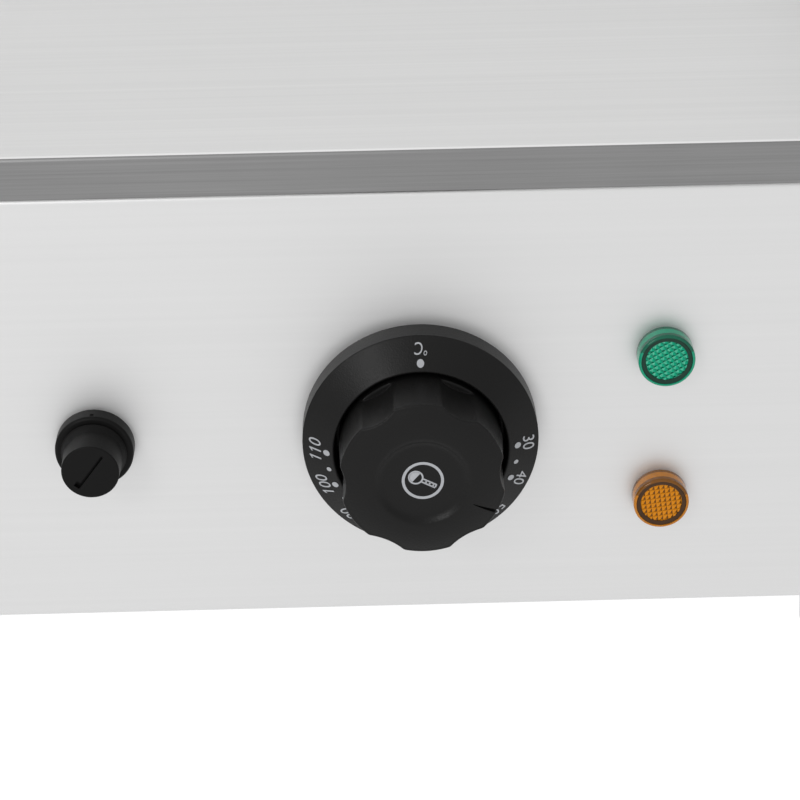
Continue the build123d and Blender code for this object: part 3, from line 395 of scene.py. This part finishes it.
def cut(piece, cutter):
    """Take a cutter out of a piece."""
    apply_modifier(piece, "Cut", "BOOLEAN", operation="DIFFERENCE", solver="EXACT", object=cutter)
    bpy.data.objects.remove(cutter)


def join(name, pieces):
    select_only(*pieces)
    if len(pieces) > 1:
        bpy.ops.object.join()
    whole = bpy.context.view_layer.objects.active
    whole.name = name
    return whole


def rounded(corners, steps=5):
    """A profile with its corners rounded; each corner is (radius from the axis, reach, rounding)."""
    points = []
    for i, (r, h, fillet) in enumerate(corners):
        if not fillet or i in (0, len(corners) - 1):
            points.append((r, h))
            continue
        here = Vector((r, h))
        back = (Vector(corners[i - 1][:2]) - here).normalized()
        on = (Vector(corners[i + 1][:2]) - here).normalized()
        half = back.angle(on) / 2
        run = fillet / tan(half)
        centre = here + (back + on).normalized() * fillet / sin(half)
        start, end = here + back * run - centre, here + on * run - centre
        sweep = start.angle_signed(end)
        for k in range(steps + 1):
            arm = start.copy()
            arm.rotate(Matrix.Rotation(-sweep * k / steps, 2))
            points.append(tuple(centre + arm))
    return points


def turned(name, profile, segments=128, closed=False):
    """A turned piece on the local Z axis: a circle extruded ring by ring along its profile."""
    deselect_all()
    first_r, first_h = profile[0]
    bpy.ops.mesh.primitive_circle_add(vertices=segments, radius=first_r * MM, fill_type="NOTHING",
                                      location=(0, 0, 0))
    piece = bpy.context.object
    piece.name = name
    bpy.ops.object.mode_set(mode="EDIT")
    bpy.ops.mesh.select_mode(type="EDGE")
    bpy.ops.mesh.select_all(action="SELECT")
    if not closed:
        bpy.ops.mesh.edge_face_add()
    bpy.ops.transform.translate(value=(0, 0, first_h * MM))
    r0, h0 = profile[0]
    for r1, h1 in profile[1:]:
        bpy.ops.mesh.extrude_edges_move()
        bpy.ops.transform.resize(value=(r1 / r0, r1 / r0, 1), center_override=(0, 0, 0))
        bpy.ops.transform.translate(value=(0, 0, (h1 - h0) * MM))
        r0, h0 = r1, h1
    if not closed:
        bpy.ops.mesh.edge_face_add()
    bpy.ops.object.mode_set(mode="OBJECT")
    return piece


def stand_on_panel(piece, x, z, y=PANEL_Y, backwards=False):
    """Turn a piece from the local Z axis to the panel's outward axis and put it in place."""
    piece.rotation_euler = (-pi / 2 if backwards else pi / 2, 0, 0)
    piece.location = (x, y, z)
    settle(piece)
    tidy_mesh(piece)


def softened_copy(name, node, width, segments, angle=30.0, material=None, split_x=None):
    """A merged copy of a CAD node with its hard edges rounded, standing for that node.

    Where a face has a hole, split_x divides it in line with the hole, so that no joint runs to a corner.
    """
    deselect_all()
    piece = bpy.data.objects.new(name, frame["nodes"][node].data.copy())
    bpy.context.scene.collection.objects.link(piece)
    select_only(piece)
    bpy.ops.mesh.customdata_custom_splitnormals_clear()
    bpy.ops.object.mode_set(mode="EDIT")
    bpy.ops.mesh.select_all(action="SELECT")
    bpy.ops.mesh.remove_doubles(threshold=0.00001)
    if split_x is not None:
        bpy.ops.mesh.bisect(plane_co=(split_x, 0, 0), plane_no=(1, 0, 0))
        bpy.ops.mesh.mark_seam(clear=False)
        bpy.ops.mesh.select_all(action="SELECT")
    bpy.ops.mesh.dissolve_limited(angle_limit=radians(0.5), delimit={"SEAM"})
    bpy.ops.object.mode_set(mode="OBJECT")
    apply_modifier(piece, "Rounded edges", "BEVEL", width=width * MM, segments=segments,
                   limit_method="ANGLE", angle_limit=radians(angle), miter_outer="MITER_ARC")
    smooth(piece)
    paint(piece, material or slot_finish(NODE_SLOTS[node], node))
    hand_over(piece, node)
    return piece


def hand_over(piece, *nodes, slot=None):
    """The piece stands for these CAD nodes and rides on their body; the nodes are hidden."""
    body = next(b for b, e in frame["bodies"].items() if frame["nodes"][nodes[0]].parent == e)
    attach(piece, body)
    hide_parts(*nodes)


# ---- operators --------------------------------------------------------------------------------
class GriddleOperator:
    bl_options = {"REGISTER", "UNDO"}

    def execute(self, context):
        self.make()
        return {"FINISHED"}


class GRIDDLE_OT_finishes(GriddleOperator, bpy.types.Operator):
    """Give every carried-over CAD node the finish of its slot"""

    bl_idname = "griddle.finishes"
    bl_label = "Finishes"

    def make(self):
        for node, piece in frame["nodes"].items():
            paint(piece, slot_finish(NODE_SLOTS[node], node))


class GRIDDLE_OT_plate(GriddleOperator, bpy.types.Operator):
    """Cooking plate with rounded edges, a ground top and milled edges, their steel darkened as painted shade
    """

    bl_idname = "griddle.plate"
    bl_label = "Cooking plate"

    def make(self):
        top = finish("ground_plate_top", colours().plate_top, 0.36, 1.0, (2.0, 420.0, 420.0), tone=0.03,
                     patch_tone=0.012, rough_spread=0.05, bump=0.05, patch_size=9.0)
        # The edge faces keep a milled grain, and their steel is made far darker than the top as painted
        # shade
        edge = finish("milled_plate_edge_painted_shade", colours().plate_edge, 0.46, 1.0, (9.0, 9.0, 1500.0), tone=0.10,
                      patch_tone=0.05, rough_spread=0.05, bump=0.10, patch_size=22.0)
        plate = softened_copy("cooking_plate", "griddle_plate", sizes().plate_edge / MM, 4, 40.0, top,
                              middle("grease_chute").x)
        plate.data.materials.append(edge)
        top_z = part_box("griddle_plate")[1].z
        # Painted shade: the faces round the plate's edge, below its top, take the darker copy
        for face in plate.data.polygons:
            if abs(face.normal.z) < 0.72 and face.center.z < top_z - 0.00015:
                face.material_index = 1


class GRIDDLE_OT_dial_ring(GriddleOperator, bpy.types.Operator):
    """Ring round the knob with its printed scale"""

    bl_idname = "griddle.dial_ring"
    bl_label = "Dial ring"

    RIM, FACE, BORE, FLOOR, SHAFT_HOLE = 7.0, 12.0, 22.9, 2.0, 6.4
    PRINT_TURN, PRINT_SHIFT, INK = -0.8, 0.3, 0.03
    DOT_CIRCLE, NUMBER_CIRCLE, UNIT_CIRCLE = 25.3, 28.1, 28.7
    COLDEST, TEN, FIRST_TURN, TURN_PER_TEN, NUMBERS = 30, 10, 90.0, 22.5, 9
    UNIT_SCALE, UNIT_NARROWING, SLOPE = 0.88, 0.85, 0.14
    FLAG = ((-0.15, -0.20), (0.05, -0.08), (-0.15, -0.125), (0.05, 0.0))

    def reach(self, radius):
        """Height of the ring's cone above the panel at a radius, both in mm."""
        outer = sizes().dial_radius / MM - 0.5
        inner = self.BORE + 0.6
        return self.FACE + (self.RIM - self.FACE) * (radius - inner) / (outer - inner)

    def make(self):
        outer = sizes().dial_radius / MM
        corners = [(self.SHAFT_HOLE, 0.0, 0), (self.SHAFT_HOLE, self.FLOOR, 0), (self.BORE, self.FLOOR, 0.8),
                   (self.BORE, self.FACE + 0.3, 0.5), (outer, self.reach(outer), 0.45), (outer, 0.0, 0),
                   (self.SHAFT_HOLE, 0.0, 0)]
        ring = turned("dial_ring", rounded(corners), 224, closed=True)
        stand_on_panel(ring, DIAL.x, DIAL.z)
        smooth(ring)
        paint(ring, black_plastic())
        hand_over(ring, "dial_bezel")
        marks = self.scale_marks()
        paint(marks, print_ink())
        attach(marks, "chassis")

    def scale_marks(self):
        """The unit at the top, a number and a dot for every ten degrees, and a smaller dot between."""
        marks = [self.lettering("°C", 1.4, self.UNIT_CIRCLE, upside_down=True), self.dot(0.5, 0.95)]
        for i in range(self.NUMBERS):
            turn = self.FIRST_TURN + i * self.TURN_PER_TEN
            marks.append(self.lettering(str(self.COLDEST + i * self.TEN), turn, self.NUMBER_CIRCLE))
            marks.append(self.dot(turn, 0.85))
            if i < self.NUMBERS - 1:
                marks.append(self.dot(turn + self.TURN_PER_TEN / 2, 0.62))
        whole = join("dial_marks", marks)
        apply_modifier(whole, "Ink", "SOLIDIFY", thickness=self.INK * MM, offset=0.0)
        tidy_mesh(whole)
        return whole

    def lettering(self, text, turn, radius, upside_down=False):
        deselect_all()
        bpy.ops.object.text_add(location=(0, 0, 0))
        item = bpy.context.object
        item.data.body = text
        item.data.size = sizes().number_size * (self.UNIT_SCALE if upside_down else 1.0)
        item.data.align_x = "CENTER"
        item.data.align_y = "CENTER"
        item.data.shear = self.SLOPE
        item.data.resolution_u = 6
        bpy.ops.object.convert(target="MESH")
        item = bpy.context.object
        if upside_down:
            for vertex in item.data.vertices:
                vertex.co.x *= self.UNIT_NARROWING
        if "1" in text:
            item = self.with_flags(item, text.count("1"))
        return self.lay_on_cone(item, turn, radius, -1 if upside_down else 1)

    def with_flags(self, item, ones):
        """Give each leading 1, which this letter draws as a plain bar, a short flag at its head."""
        size = sizes().number_size
        tidy_mesh(item)
        bpy.ops.mesh.separate(type="LOOSE")
        strokes = sorted(bpy.context.selected_objects,
                         key=lambda part: min(vertex.co.x for vertex in part.data.vertices))
        flags = []
        for bar in strokes[:ones]:
            head = max((vertex.co for vertex in bar.data.vertices), key=lambda co: co.y - co.x).copy()
            deselect_all()
            bpy.ops.mesh.primitive_plane_add(size=1.0, location=(0, 0, 0))
            flag = bpy.context.object
            for vertex, (across, along) in zip(flag.data.vertices, self.FLAG):
                vertex.co = head + Vector((across, along, 0)) * size
            flags.append(flag)
        return join(item.name, strokes + flags)

    def dot(self, turn, radius):
        deselect_all()
        bpy.ops.mesh.primitive_circle_add(vertices=32, radius=radius * MM, fill_type="NGON",
                                          location=(0, 0, 0))
        return self.lay_on_cone(bpy.context.object, turn, self.DOT_CIRCLE, 1)

    def lay_on_cone(self, item, turn, radius, sign):
        """Wrap a flat mark onto the cone, its top outward, at an angle clockwise from the top."""
        turn += self.PRINT_TURN
        out = Vector((sin(radians(turn)), cos(radians(turn))))
        round_ = Vector((out.y, -out.x))
        for vertex in item.data.vertices:
            spot = out * (radius * MM + sign * vertex.co.y) + round_ * sign * vertex.co.x
            spot.x += self.PRINT_SHIFT * MM
            height = (self.reach(spot.length / MM) + self.INK) * MM
            vertex.co = (DIAL.x + spot.x, PANEL_Y - height, DIAL.z + spot.y)
        return item


class GRIDDLE_OT_knob(GriddleOperator, bpy.types.Operator):
    """Fluted thermostat knob with its pointer groove and printed symbol"""

    bl_idname = "griddle.knob"
    bl_label = "Thermostat knob"

    FLUTES, LEDGE, BASE = 6, 11.7, 4.5
    POINTER = 117.5
    CROWN_R, CROWN_DROP, CROWN_POWER, DISH_FLOOR = 13.0, 1.9, 1.9, 27.7
    EDGE, LOBE_BLEND = 0.55, 0.35
    SOCKET_R, SOCKET_END = 16.6, 23.0
    GROOVE_WIDTH, GROOVE_LENGTH, GROOVE_START, GROOVE_FLOOR = 1.5, 9.4, 14.6, 25.0
    GROOVE_TAPER, GROOVE_RISE, GROOVE_CUT = 0.12, 3.3, 6.0
    SYMBOL_R, BULB_R, BULB_PLACE, LINE = 5.44, 2.0, -2.05, 0.42
    SEGMENTS = 360

    def outline(self, turn):
        """Radius of the knob's side wall at an angle, with softly rounded lobe corners, in mm."""
        radius = sizes().grip_radius / MM
        offset = sizes().flute_offset / MM
        flute = sizes().flute_radius / MM
        step = 2 * pi / self.FLUTES
        first = radians(self.POINTER) + step / 2
        away = (turn - first + step / 2) % step - step / 2
        inside = flute ** 2 - (offset * sin(away)) ** 2
        if inside <= 0:
            return radius
        wall = offset * cos(away) - inside ** 0.5
        soft = max(self.LOBE_BLEND - abs(radius - wall), 0.0) / self.LOBE_BLEND
        return min(radius, wall) - soft * soft * self.LOBE_BLEND / 4

    def crown(self, radius):
        """Reach of the domed face at a radius, in mm."""
        top = sizes().grip_reach / MM
        full = sizes().grip_radius / MM
        fall = max(radius - self.CROWN_R, 0.0) / (full - self.CROWN_R)
        return top - self.CROWN_DROP * fall ** self.CROWN_POWER

    def rings(self):
        """Each ring is a rule that gives (radius, reach) at an angle."""
        full = sizes().grip_radius / MM
        edge, ledge = self.EDGE, self.LEDGE
        rows = [lambda w: (self.SOCKET_R, self.SOCKET_END), lambda w: (self.SOCKET_R, self.BASE)]
        rows += [lambda w: (full - 0.4, self.BASE), lambda w: (full, self.BASE + 0.4)]
        rows += [lambda w: (full, ledge - 1.3), lambda w: (full, ledge - 0.45)]

        def shelf(w, share, drop):
            cut_in = min(max((full - w) / 0.3, 0.0), 1.0)
            return full - cut_in * share * (full - w), ledge - drop * cut_in - 0.3 * (1 - cut_in)

        rows += [lambda w: shelf(w, 0.06, 0.12), lambda w: shelf(w, 0.3, 0.0)]
        rows += [lambda w: shelf(w, 0.62, 0.0), lambda w: shelf(w, 0.9, 0.0)]
        rows += [lambda w: (w - 0.02, ledge + 0.05), lambda w: (w, ledge + 0.4)]
        rows += [lambda w, k=k: (w, ledge + 0.4 + (self.crown(w) - edge - ledge - 0.4) * k / 5)
                 for k in range(1, 6)]
        for k in range(1, 7):
            lean = radians(15 * k)
            rows.append(lambda w, lean=lean: (w - edge * (1 - cos(lean)),
                                              self.crown(w - edge) - edge * (1 - sin(lean))))
        for k in range(1, 11):
            rows.append(lambda w, k=k: self.face_point(w, k / 10))
        dish = [(12.75, -0.02), (12.45, -0.08), (12.15, -0.2), (11.85, -0.4), (11.4, -0.75), (10.9, -1.05),
                (10.4, -1.22), (9.9, -1.29), (9.3, -1.3), (6.0, -1.3), (0.4, -1.3)]
        top = sizes().grip_reach / MM
        rows += [lambda w, r=r, d=d: (r, top + d) for r, d in dish]
        return rows

    def face_point(self, w, share):
        radius = w - self.EDGE + (self.CROWN_R - w + self.EDGE) * share
        return radius, self.crown(radius)

    def make(self):
        rows = self.rings()
        full = sizes().grip_radius / MM
        profile = [row(full) for row in rows]
        grip = turned("knob_grip_moulded", profile, self.SEGMENTS)
        for vertex in grip.data.vertices:
            turn = atan2(vertex.co.x, vertex.co.y)
            radius, reach = rows[vertex.index // self.SEGMENTS](self.outline(turn))
            vertex.co = (radius * MM * sin(turn), radius * MM * cos(turn), reach * MM)
        stand_on_panel(grip, DIAL.x, DIAL.z)
        cut(grip, self.pointer_cutter())
        tidy_mesh(grip)
        smooth(grip, 38.0)
        paint(grip, black_plastic())
        hand_over(grip, "knob_grip")
        symbol = self.symbol()
        paint(symbol, print_ink())
        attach(symbol, "knob")

    def pointer_cutter(self):
        """A long wedge that widens outward, lying across the crown's outer part."""
        deselect_all()
        size = (self.GROOVE_WIDTH, self.GROOVE_LENGTH, self.GROOVE_CUT)
        bpy.ops.mesh.primitive_cube_add(size=1.0, location=(0, 0, 0), scale=[side * MM for side in size])
        wedge = bpy.context.object
        settle(wedge)
        for vertex in wedge.data.vertices:
            if vertex.co.y < 0:
                vertex.co.x *= self.GROOVE_TAPER
                vertex.co.z += self.GROOVE_RISE * MM
            vertex.co.y += (self.GROOVE_START + self.GROOVE_LENGTH / 2) * MM
            vertex.co.z += (self.GROOVE_FLOOR + self.GROOVE_CUT / 2) * MM
        wedge.rotation_euler = (0, 0, -radians(self.POINTER))
        settle(wedge)
        wedge.rotation_euler = (pi / 2, 0, 0)
        wedge.location = (DIAL.x, PANEL_Y, DIAL.z)
        settle(wedge)
        return wedge

    def symbol(self):
        """Thermometer in a circle, its stem pointing the way of the groove."""
        ring = self.flat_circle(self.SYMBOL_R, 0.74, 96)
        bulb = self.flat_circle(self.BULB_R, self.LINE, 48)
        half = self.flat_circle(1.65, 0.0, 40)
        select_only(half)
        bpy.ops.object.mode_set(mode="EDIT")
        bpy.ops.mesh.select_all(action="SELECT")
        bpy.ops.mesh.bisect(plane_co=(0, 0.1 * MM, 0), plane_no=(0.25, 1, 0), clear_outer=True)
        bpy.ops.object.mode_set(mode="OBJECT")
        bars = [self.flat_bar(side * 0.48, 1.85, 0.4, 3.9) for side in (-1, 1)]
        bars += [self.flat_bar(0, -0.12 + k * 1.05, 0.8, self.LINE) for k in range(1, 4)]
        bars.append(self.flat_bar(0, 3.72, 0.7, self.LINE))
        for item in (bulb, half):
            item.location.y = self.BULB_PLACE * MM
            settle(item)
        whole = join("knob_symbol", [ring, bulb, half] + bars)
        apply_modifier(whole, "Ink", "SOLIDIFY", thickness=0.04 * MM, offset=0.0)
        whole.rotation_euler = (0, 0, -radians(self.POINTER))
        settle(whole)
        stand_on_panel(whole, DIAL.x, DIAL.z, PANEL_Y - (self.DISH_FLOOR + 0.03) * MM)
        return whole

    def flat_bar(self, across, along, width, depth):
        deselect_all()
        bpy.ops.mesh.primitive_plane_add(size=1.0, location=(across * MM, along * MM, 0))
        bar = bpy.context.object
        bar.scale = (width * MM, depth * MM, 1)
        settle(bar)
        return bar

    def flat_circle(self, radius, line, count):
        deselect_all()
        bpy.ops.mesh.primitive_circle_add(vertices=count, radius=radius * MM, fill_type="NGON",
                                          location=(0, 0, 0))
        item = bpy.context.object
        if line:
            bpy.ops.object.mode_set(mode="EDIT")
            bpy.ops.mesh.select_all(action="SELECT")
            bpy.ops.mesh.inset(thickness=line * MM)
            bpy.ops.mesh.delete(type="FACE")
            bpy.ops.object.mode_set(mode="OBJECT")
        return item


class GRIDDLE_OT_reset(GriddleOperator, bpy.types.Operator):
    """Reset button's collar and screw cap"""

    bl_idname = "griddle.reset"
    bl_label = "Reset button"

    HEIGHT, FOOT, SLOT_ANGLE = 15.6, 5.2, 37.0
    BORE_R, COLLAR_HEIGHT, PIP_R, PIP_HEIGHT, CAP_WALL = 5.15, 4.7, 0.55, 3.1, 2.0
    SLOT = (0.72, 11.4, 2.2)
    SLOT_END = (1.7, 1.7, 2.6)

    def make(self):
        outer = sizes().collar_radius / MM
        collar = turned("reset_collar_moulded", rounded([
            (self.BORE_R, 0, 0), (outer, 0, 0), (outer, self.COLLAR_HEIGHT, 0.9),
            (8.0, self.COLLAR_HEIGHT, 0), (self.BORE_R, self.COLLAR_HEIGHT, 0), (self.BORE_R, 0, 0)]),
            128, closed=True)
        stand_on_panel(collar, RESET.x, RESET.z)
        deselect_all()
        bpy.ops.mesh.primitive_uv_sphere_add(
            segments=24, ring_count=12, radius=self.PIP_R * MM,
            location=(RESET.x, PANEL_Y - self.PIP_HEIGHT * MM, RESET.z + outer * MM))
        cut(collar, bpy.context.object)
        smooth(collar)
        paint(collar, reset_plastic())
        hand_over(collar, "reset_collar")
        cap = turned("reset_cap_moulded", rounded([
            (self.BORE_R, self.FOOT, 0), (8.9, self.FOOT, 0.12), (8.55, 5.75, 0.25), (7.9, 7.4, 1.6),
            (7.62, self.HEIGHT, 0.35), (7.0, self.HEIGHT, 0), (0.3, self.HEIGHT, 0)], 6), 128)
        self.hollow(cap)
        stand_on_panel(cap, RESET.x, RESET.z)
        cut(cap, self.cutter(self.SLOT, 0.0, 0.0))
        cut(cap, self.cutter(self.SLOT_END, -0.55, -5.0))
        smooth(cap)
        paint(cap, reset_plastic())
        hand_over(cap, "reset_cap")

    def hollow(self, cap):
        """Take the bore out of the cap."""
        deepest = self.HEIGHT - self.CAP_WALL
        bore = turned("bore", [(self.BORE_R, self.FOOT - 2), (self.BORE_R, deepest)], 64)
        tidy_mesh(bore)
        tidy_mesh(cap)
        cut(cap, bore)

    def cutter(self, size, across, along):
        """A bar across the cap's face, turned with the slot."""
        deselect_all()
        bpy.ops.mesh.primitive_cube_add(size=1.0, location=(0, 0, 0), scale=[s * MM for s in size])
        bar = bpy.context.object
        bar.location = (across * MM, along * MM, self.HEIGHT * MM)
        settle(bar)
        bar.rotation_euler = (0, 0, -radians(self.SLOT_ANGLE))
        settle(bar)
        bar.rotation_euler = (pi / 2, 0, 0)
        bar.location = (RESET.x, PANEL_Y, RESET.z)
        settle(bar)
        return bar


class GRIDDLE_OT_pilot_lamps(GriddleOperator, bpy.types.Operator):
    """Clear coloured lamp lenses: a light rim with painted shade on its wall, a dark ring inside it and a
    faceted face with painted light and shade
    """

    bl_idname = "griddle.pilot_lamps"
    bl_label = "Pilot lamps"

    HEIGHT, RIM_R, DISC_R = 5.6, 6.75, 5.6
    # Heights that bound the painted shade on the lens wall: the foot band, and the wall beyond the front
    # band and above the upper part
    FOOT_BAND, FRONT_BAND, UPPER_PART = 1.3, 3.7, 2.6
    FACETS_ACROSS, FACET_RISE, DISC_HEIGHT, DISC_THICKNESS = 10, 0.42, 4.85, 1.2
    SLANT = {"green": 32.0, "amber": 8.0}

    def make(self):
        for name, tint in (("green", colours().green), ("amber", colours().amber)):
            place = middle(f"{name}_lens")
            shell = self.shell(name, tint, place)
            hand_over(shell, f"{name}_lens")
            cup = turned(f"{name}_lens_cup", rounded([
                (self.DISC_R - 0.2, 0.3, 0), (self.RIM_R - 0.04, 0.3, 0), (self.RIM_R - 0.04, 5.45, 0.15),
                (self.DISC_R, 5.15, 0.15), (self.DISC_R - 0.2, 0.3, 0)], 3), 96, closed=True)
            stand_on_panel(cup, place.x, place.z)
            smooth(cup)
            paint(cup, finish(f"{name}_lens_cup", [c * 0.08 + 0.014 for c in tint], 0.4, grain=900.0,
                              tone=0.2, Specular_IOR_Level=0.12))
            disc = self.faceted_disc(name, place)
            self.paint_facets(disc, name, tint)
            for piece in (cup, disc):
                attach(piece, "chassis")

    def shell(self, name, tint, place):
        """The cap's clear wall: painted shade, a darker copy of its plastic, at its foot and round its upper
        front, and a brightened copy elsewhere.
        """
        radius = sizes().lens_radius / MM
        shell = turned(f"{name}_lens_shell", rounded([
            (self.RIM_R, 0, 0), (radius, 0, 0), (radius, self.FOOT_BAND, 0), (radius, self.FRONT_BAND, 0),
            (radius, self.HEIGHT, 0.7),
            (self.RIM_R, self.HEIGHT, 0.2), (self.RIM_R, 0, 0)], 6), 128, closed=True)
        stand_on_panel(shell, place.x, place.z)
        smooth(shell)
        paint(shell, clear_plastic(f"{name}_lens_plastic", tint, 1.1))
        # A darker copy of the lens plastic, painted shade on the wall's foot and upper front
        shell.data.materials.append(clear_plastic(f"{name}_lens_wall_painted_shade", tint, 0.38))
        for face in shell.data.polygons:
            reach = (PANEL_Y - face.center.y) / MM
            above = (face.center.z - place.z) / MM
            if reach < self.FOOT_BAND or (reach > self.FRONT_BAND and above > self.UPPER_PART):
                face.material_index = 1
        return shell

    def paint_facets(self, disc, name, tint):
        """Painted light and shade on the pyramids: two sides of each take the tint as it is, the side below
        a half-shaded copy and the right side a dark shaded copy.
        """
        disc.data.materials.clear()
        for tone, share in (("bright", 1.0), ("painted_half_shade", 0.6), ("painted_shade", 0.25)):
            disc.data.materials.append(
                finish(f"{name}_facets_{tone}", [c * share for c in tint], 0.22, grain=700.0, tone=0.1,
                       Specular_IOR_Level=0.15))
        # Painted light and shade: each facet takes the lit, half-shaded or shaded copy by the way it leans
        for face in disc.data.polygons:
            lean = Vector((face.normal.x, face.normal.z))
            if face.normal.y > -0.3 or lean.length < 0.2:
                continue
            lean.rotate(Matrix.Rotation(radians(self.SLANT[name]), 2))
            if lean.x > abs(lean.y):
                face.material_index = 2
            elif -lean.y > abs(lean.x):
                face.material_index = 1

    def faceted_disc(self, name, place):
        """A disc of small pyramids: a grid poked into points, cut round."""
        pitch = sizes().facet_pitch / MM
        count = self.FACETS_ACROSS
        deselect_all()
        bpy.ops.mesh.primitive_grid_add(x_subdivisions=count, y_subdivisions=count,
                                        size=count * pitch * MM, location=(0, 0, 0))
        disc = bpy.context.object
        disc.name = f"{name}_lens_facets"
        bpy.ops.object.mode_set(mode="EDIT")
        bpy.ops.mesh.select_all(action="SELECT")
        bpy.ops.mesh.poke(offset=self.FACET_RISE * MM)
        bpy.ops.object.mode_set(mode="OBJECT")
        apply_modifier(disc, "Body", "SOLIDIFY", thickness=self.DISC_THICKNESS * MM, offset=-1.0)
        disc.rotation_euler = (0, 0, radians(self.SLANT[name]))
        disc.location = (0, 0, self.DISC_HEIGHT * MM)
        settle(disc)
        tidy_mesh(disc)
        tool = turned("round", [(self.DISC_R - 0.02, -1.0), (self.DISC_R - 0.02, 8.0)], 96)
        tidy_mesh(tool)
        apply_modifier(disc, "Round", "BOOLEAN", operation="INTERSECT", solver="EXACT", object=tool)
        bpy.data.objects.remove(tool)
        stand_on_panel(disc, place.x, place.z)
        return disc


class GRIDDLE_OT_bodywork(GriddleOperator, bpy.types.Operator):
    """Bodywork with the rounded edges of folded sheet"""

    bl_idname = "griddle.bodywork"
    bl_label = "Bodywork"

    def make(self):
        for name, node, width in (("control_panel_folded", "control_panel", 0.25),
                                  ("drawer_face_folded", "drawer_front", 0.3),
                                  ("left_side_folded", "left_side_panel", 0.25),
                                  ("right_side_folded", "right_side_panel", 0.25)):
            softened_copy(name, node, width, 2)


class GRIDDLE_OT_stage(GriddleOperator, bpy.types.Operator):
    """Pale floor, soft studio light and the camera"""

    bl_idname = "griddle.stage"
    bl_label = "Stage"

    CAMERA = Vector((0.0984, -0.7603, 0.3922))
    PITCH, YAW, ROLL, LENS = 0.4789, 0.0116, -0.0186, 105.23
    KEY_FROM_DIAL = Vector((-0.60, -0.93, 0.58))
    AIR_AHEAD, AIR_BESIDE, FLOOR_GLOW = 0.92, 0.64, 0.97

    def make(self):
        scene = bpy.context.scene
        scene.view_settings.view_transform = "Standard"
        self.camera(scene)
        self.sky(scene)
        self.floor()
        aim = Vector((DIAL.x, PANEL_Y, DIAL.z))
        self.softbox("key_light", aim + self.KEY_FROM_DIAL, aim, 0.36, 4.2)
        self.softbox("top_light", Vector((0.0, 0.1, 1.8)), Vector((0, 0, 0.1)), 1.6, 2.0)

    def camera(self, scene):
        ahead = Vector((sin(self.YAW) * cos(self.PITCH), cos(self.YAW) * cos(self.PITCH),
                        -sin(self.PITCH)))
        right = Vector((cos(self.YAW), -sin(self.YAW), 0))
        up = right.cross(ahead)
        side = right * cos(self.ROLL) + up * sin(self.ROLL)
        top = up * cos(self.ROLL) - right * sin(self.ROLL)
        data = bpy.data.cameras.new("view_camera")
        data.lens = self.LENS
        data.sensor_width = 36.0
        data.clip_start = 0.01
        camera = bpy.data.objects.new("view_camera", data)
        scene.collection.objects.link(camera)
        turn = Matrix((side, top, -ahead)).transposed()
        camera.matrix_world = Matrix.Translation(self.CAMERA) @ turn.to_4x4()
        scene.camera = camera

    def sky(self, scene):
        """White air that dims to both sides, so that side walls stand out from the front and back."""
        world = bpy.data.worlds.new("studio_air")
        world.use_nodes = True
        tree = world.node_tree
        heading = tree.nodes.new("ShaderNodeTexCoord")
        parts = tree.nodes.new("ShaderNodeSeparateXYZ")
        tree.links.new(heading.outputs["Generated"], parts.inputs[0])
        sideways = tree.nodes.new("ShaderNodeMath")
        sideways.operation = "MULTIPLY"
        tree.links.new(parts.outputs["X"], sideways.inputs[0])
        tree.links.new(parts.outputs["X"], sideways.inputs[1])
        strength = between(tree, sideways.outputs[0], self.AIR_AHEAD, self.AIR_BESIDE)
        tree.links.new(strength.outputs["Result"], tree.nodes["Background"].inputs["Strength"])
        tree.nodes["Background"].inputs["Color"].default_value = (1.0, 1.0, 1.0, 1.0)
        scene.world = world

    def softbox(self, name, place, aim, size, power):
        data = bpy.data.lights.new(name, "AREA")
        data.shape = "SQUARE"
        data.size = size
        data.energy = power
        light = bpy.data.objects.new(name, data)
        bpy.context.scene.collection.objects.link(light)
        light.location = place
        light.rotation_euler = (aim - place).to_track_quat("-Z", "Y").to_euler()

    def floor(self):
        deselect_all()
        bpy.ops.mesh.primitive_plane_add(size=9.0, location=(0, 0, 0))
        floor = bpy.context.object
        floor.name = "floor"
        paint(floor, finish("pale_floor", (0.12, 0.12, 0.12), 0.9, grain=60.0, tone=0.01,
                            patch_tone=0.004, bump=0.02, Emission_Color=(1, 1, 1, 1),
                            Emission_Strength=self.FLOOR_GLOW, Specular_IOR_Level=0.0))


class GRIDDLE_PT_panel(bpy.types.Panel):
    """Sizes, colours and pieces of the griddle"""

    bl_label = "Flat top griddle"
    bl_space_type = "VIEW_3D"
    bl_region_type = "UI"
    bl_category = "Griddle"

    def draw(self, context):
        for group in (context.scene.griddle_sizes, context.scene.griddle_colours):
            box = self.layout.box()
            for name in group.__annotations__:
                box.prop(group, name)
        for operator in OPERATORS:
            self.layout.operator(operator.bl_idname)


OPERATORS = (
    GRIDDLE_OT_stage,
    GRIDDLE_OT_finishes,
    GRIDDLE_OT_plate,
    GRIDDLE_OT_dial_ring,
    GRIDDLE_OT_knob,
    GRIDDLE_OT_reset,
    GRIDDLE_OT_pilot_lamps,
    GRIDDLE_OT_bodywork,
)
CLASSES = (GriddleSizes, GriddleColours) + OPERATORS + (GRIDDLE_PT_panel,)


def register():
    for cls in CLASSES:
        bpy.utils.register_class(cls)
    bpy.types.Scene.griddle_sizes = bpy.props.PointerProperty(type=GriddleSizes)
    bpy.types.Scene.griddle_colours = bpy.props.PointerProperty(type=GriddleColours)


def unregister():
    del bpy.types.Scene.griddle_colours
    del bpy.types.Scene.griddle_sizes
    for cls in reversed(CLASSES):
        bpy.utils.unregister_class(cls)


def main():
    register()
    for operator in OPERATORS:
        group, name = operator.bl_idname.split(".")
        getattr(getattr(bpy.ops, group), name)()
    deselect_all()


if __name__ == "__main__":
    main()
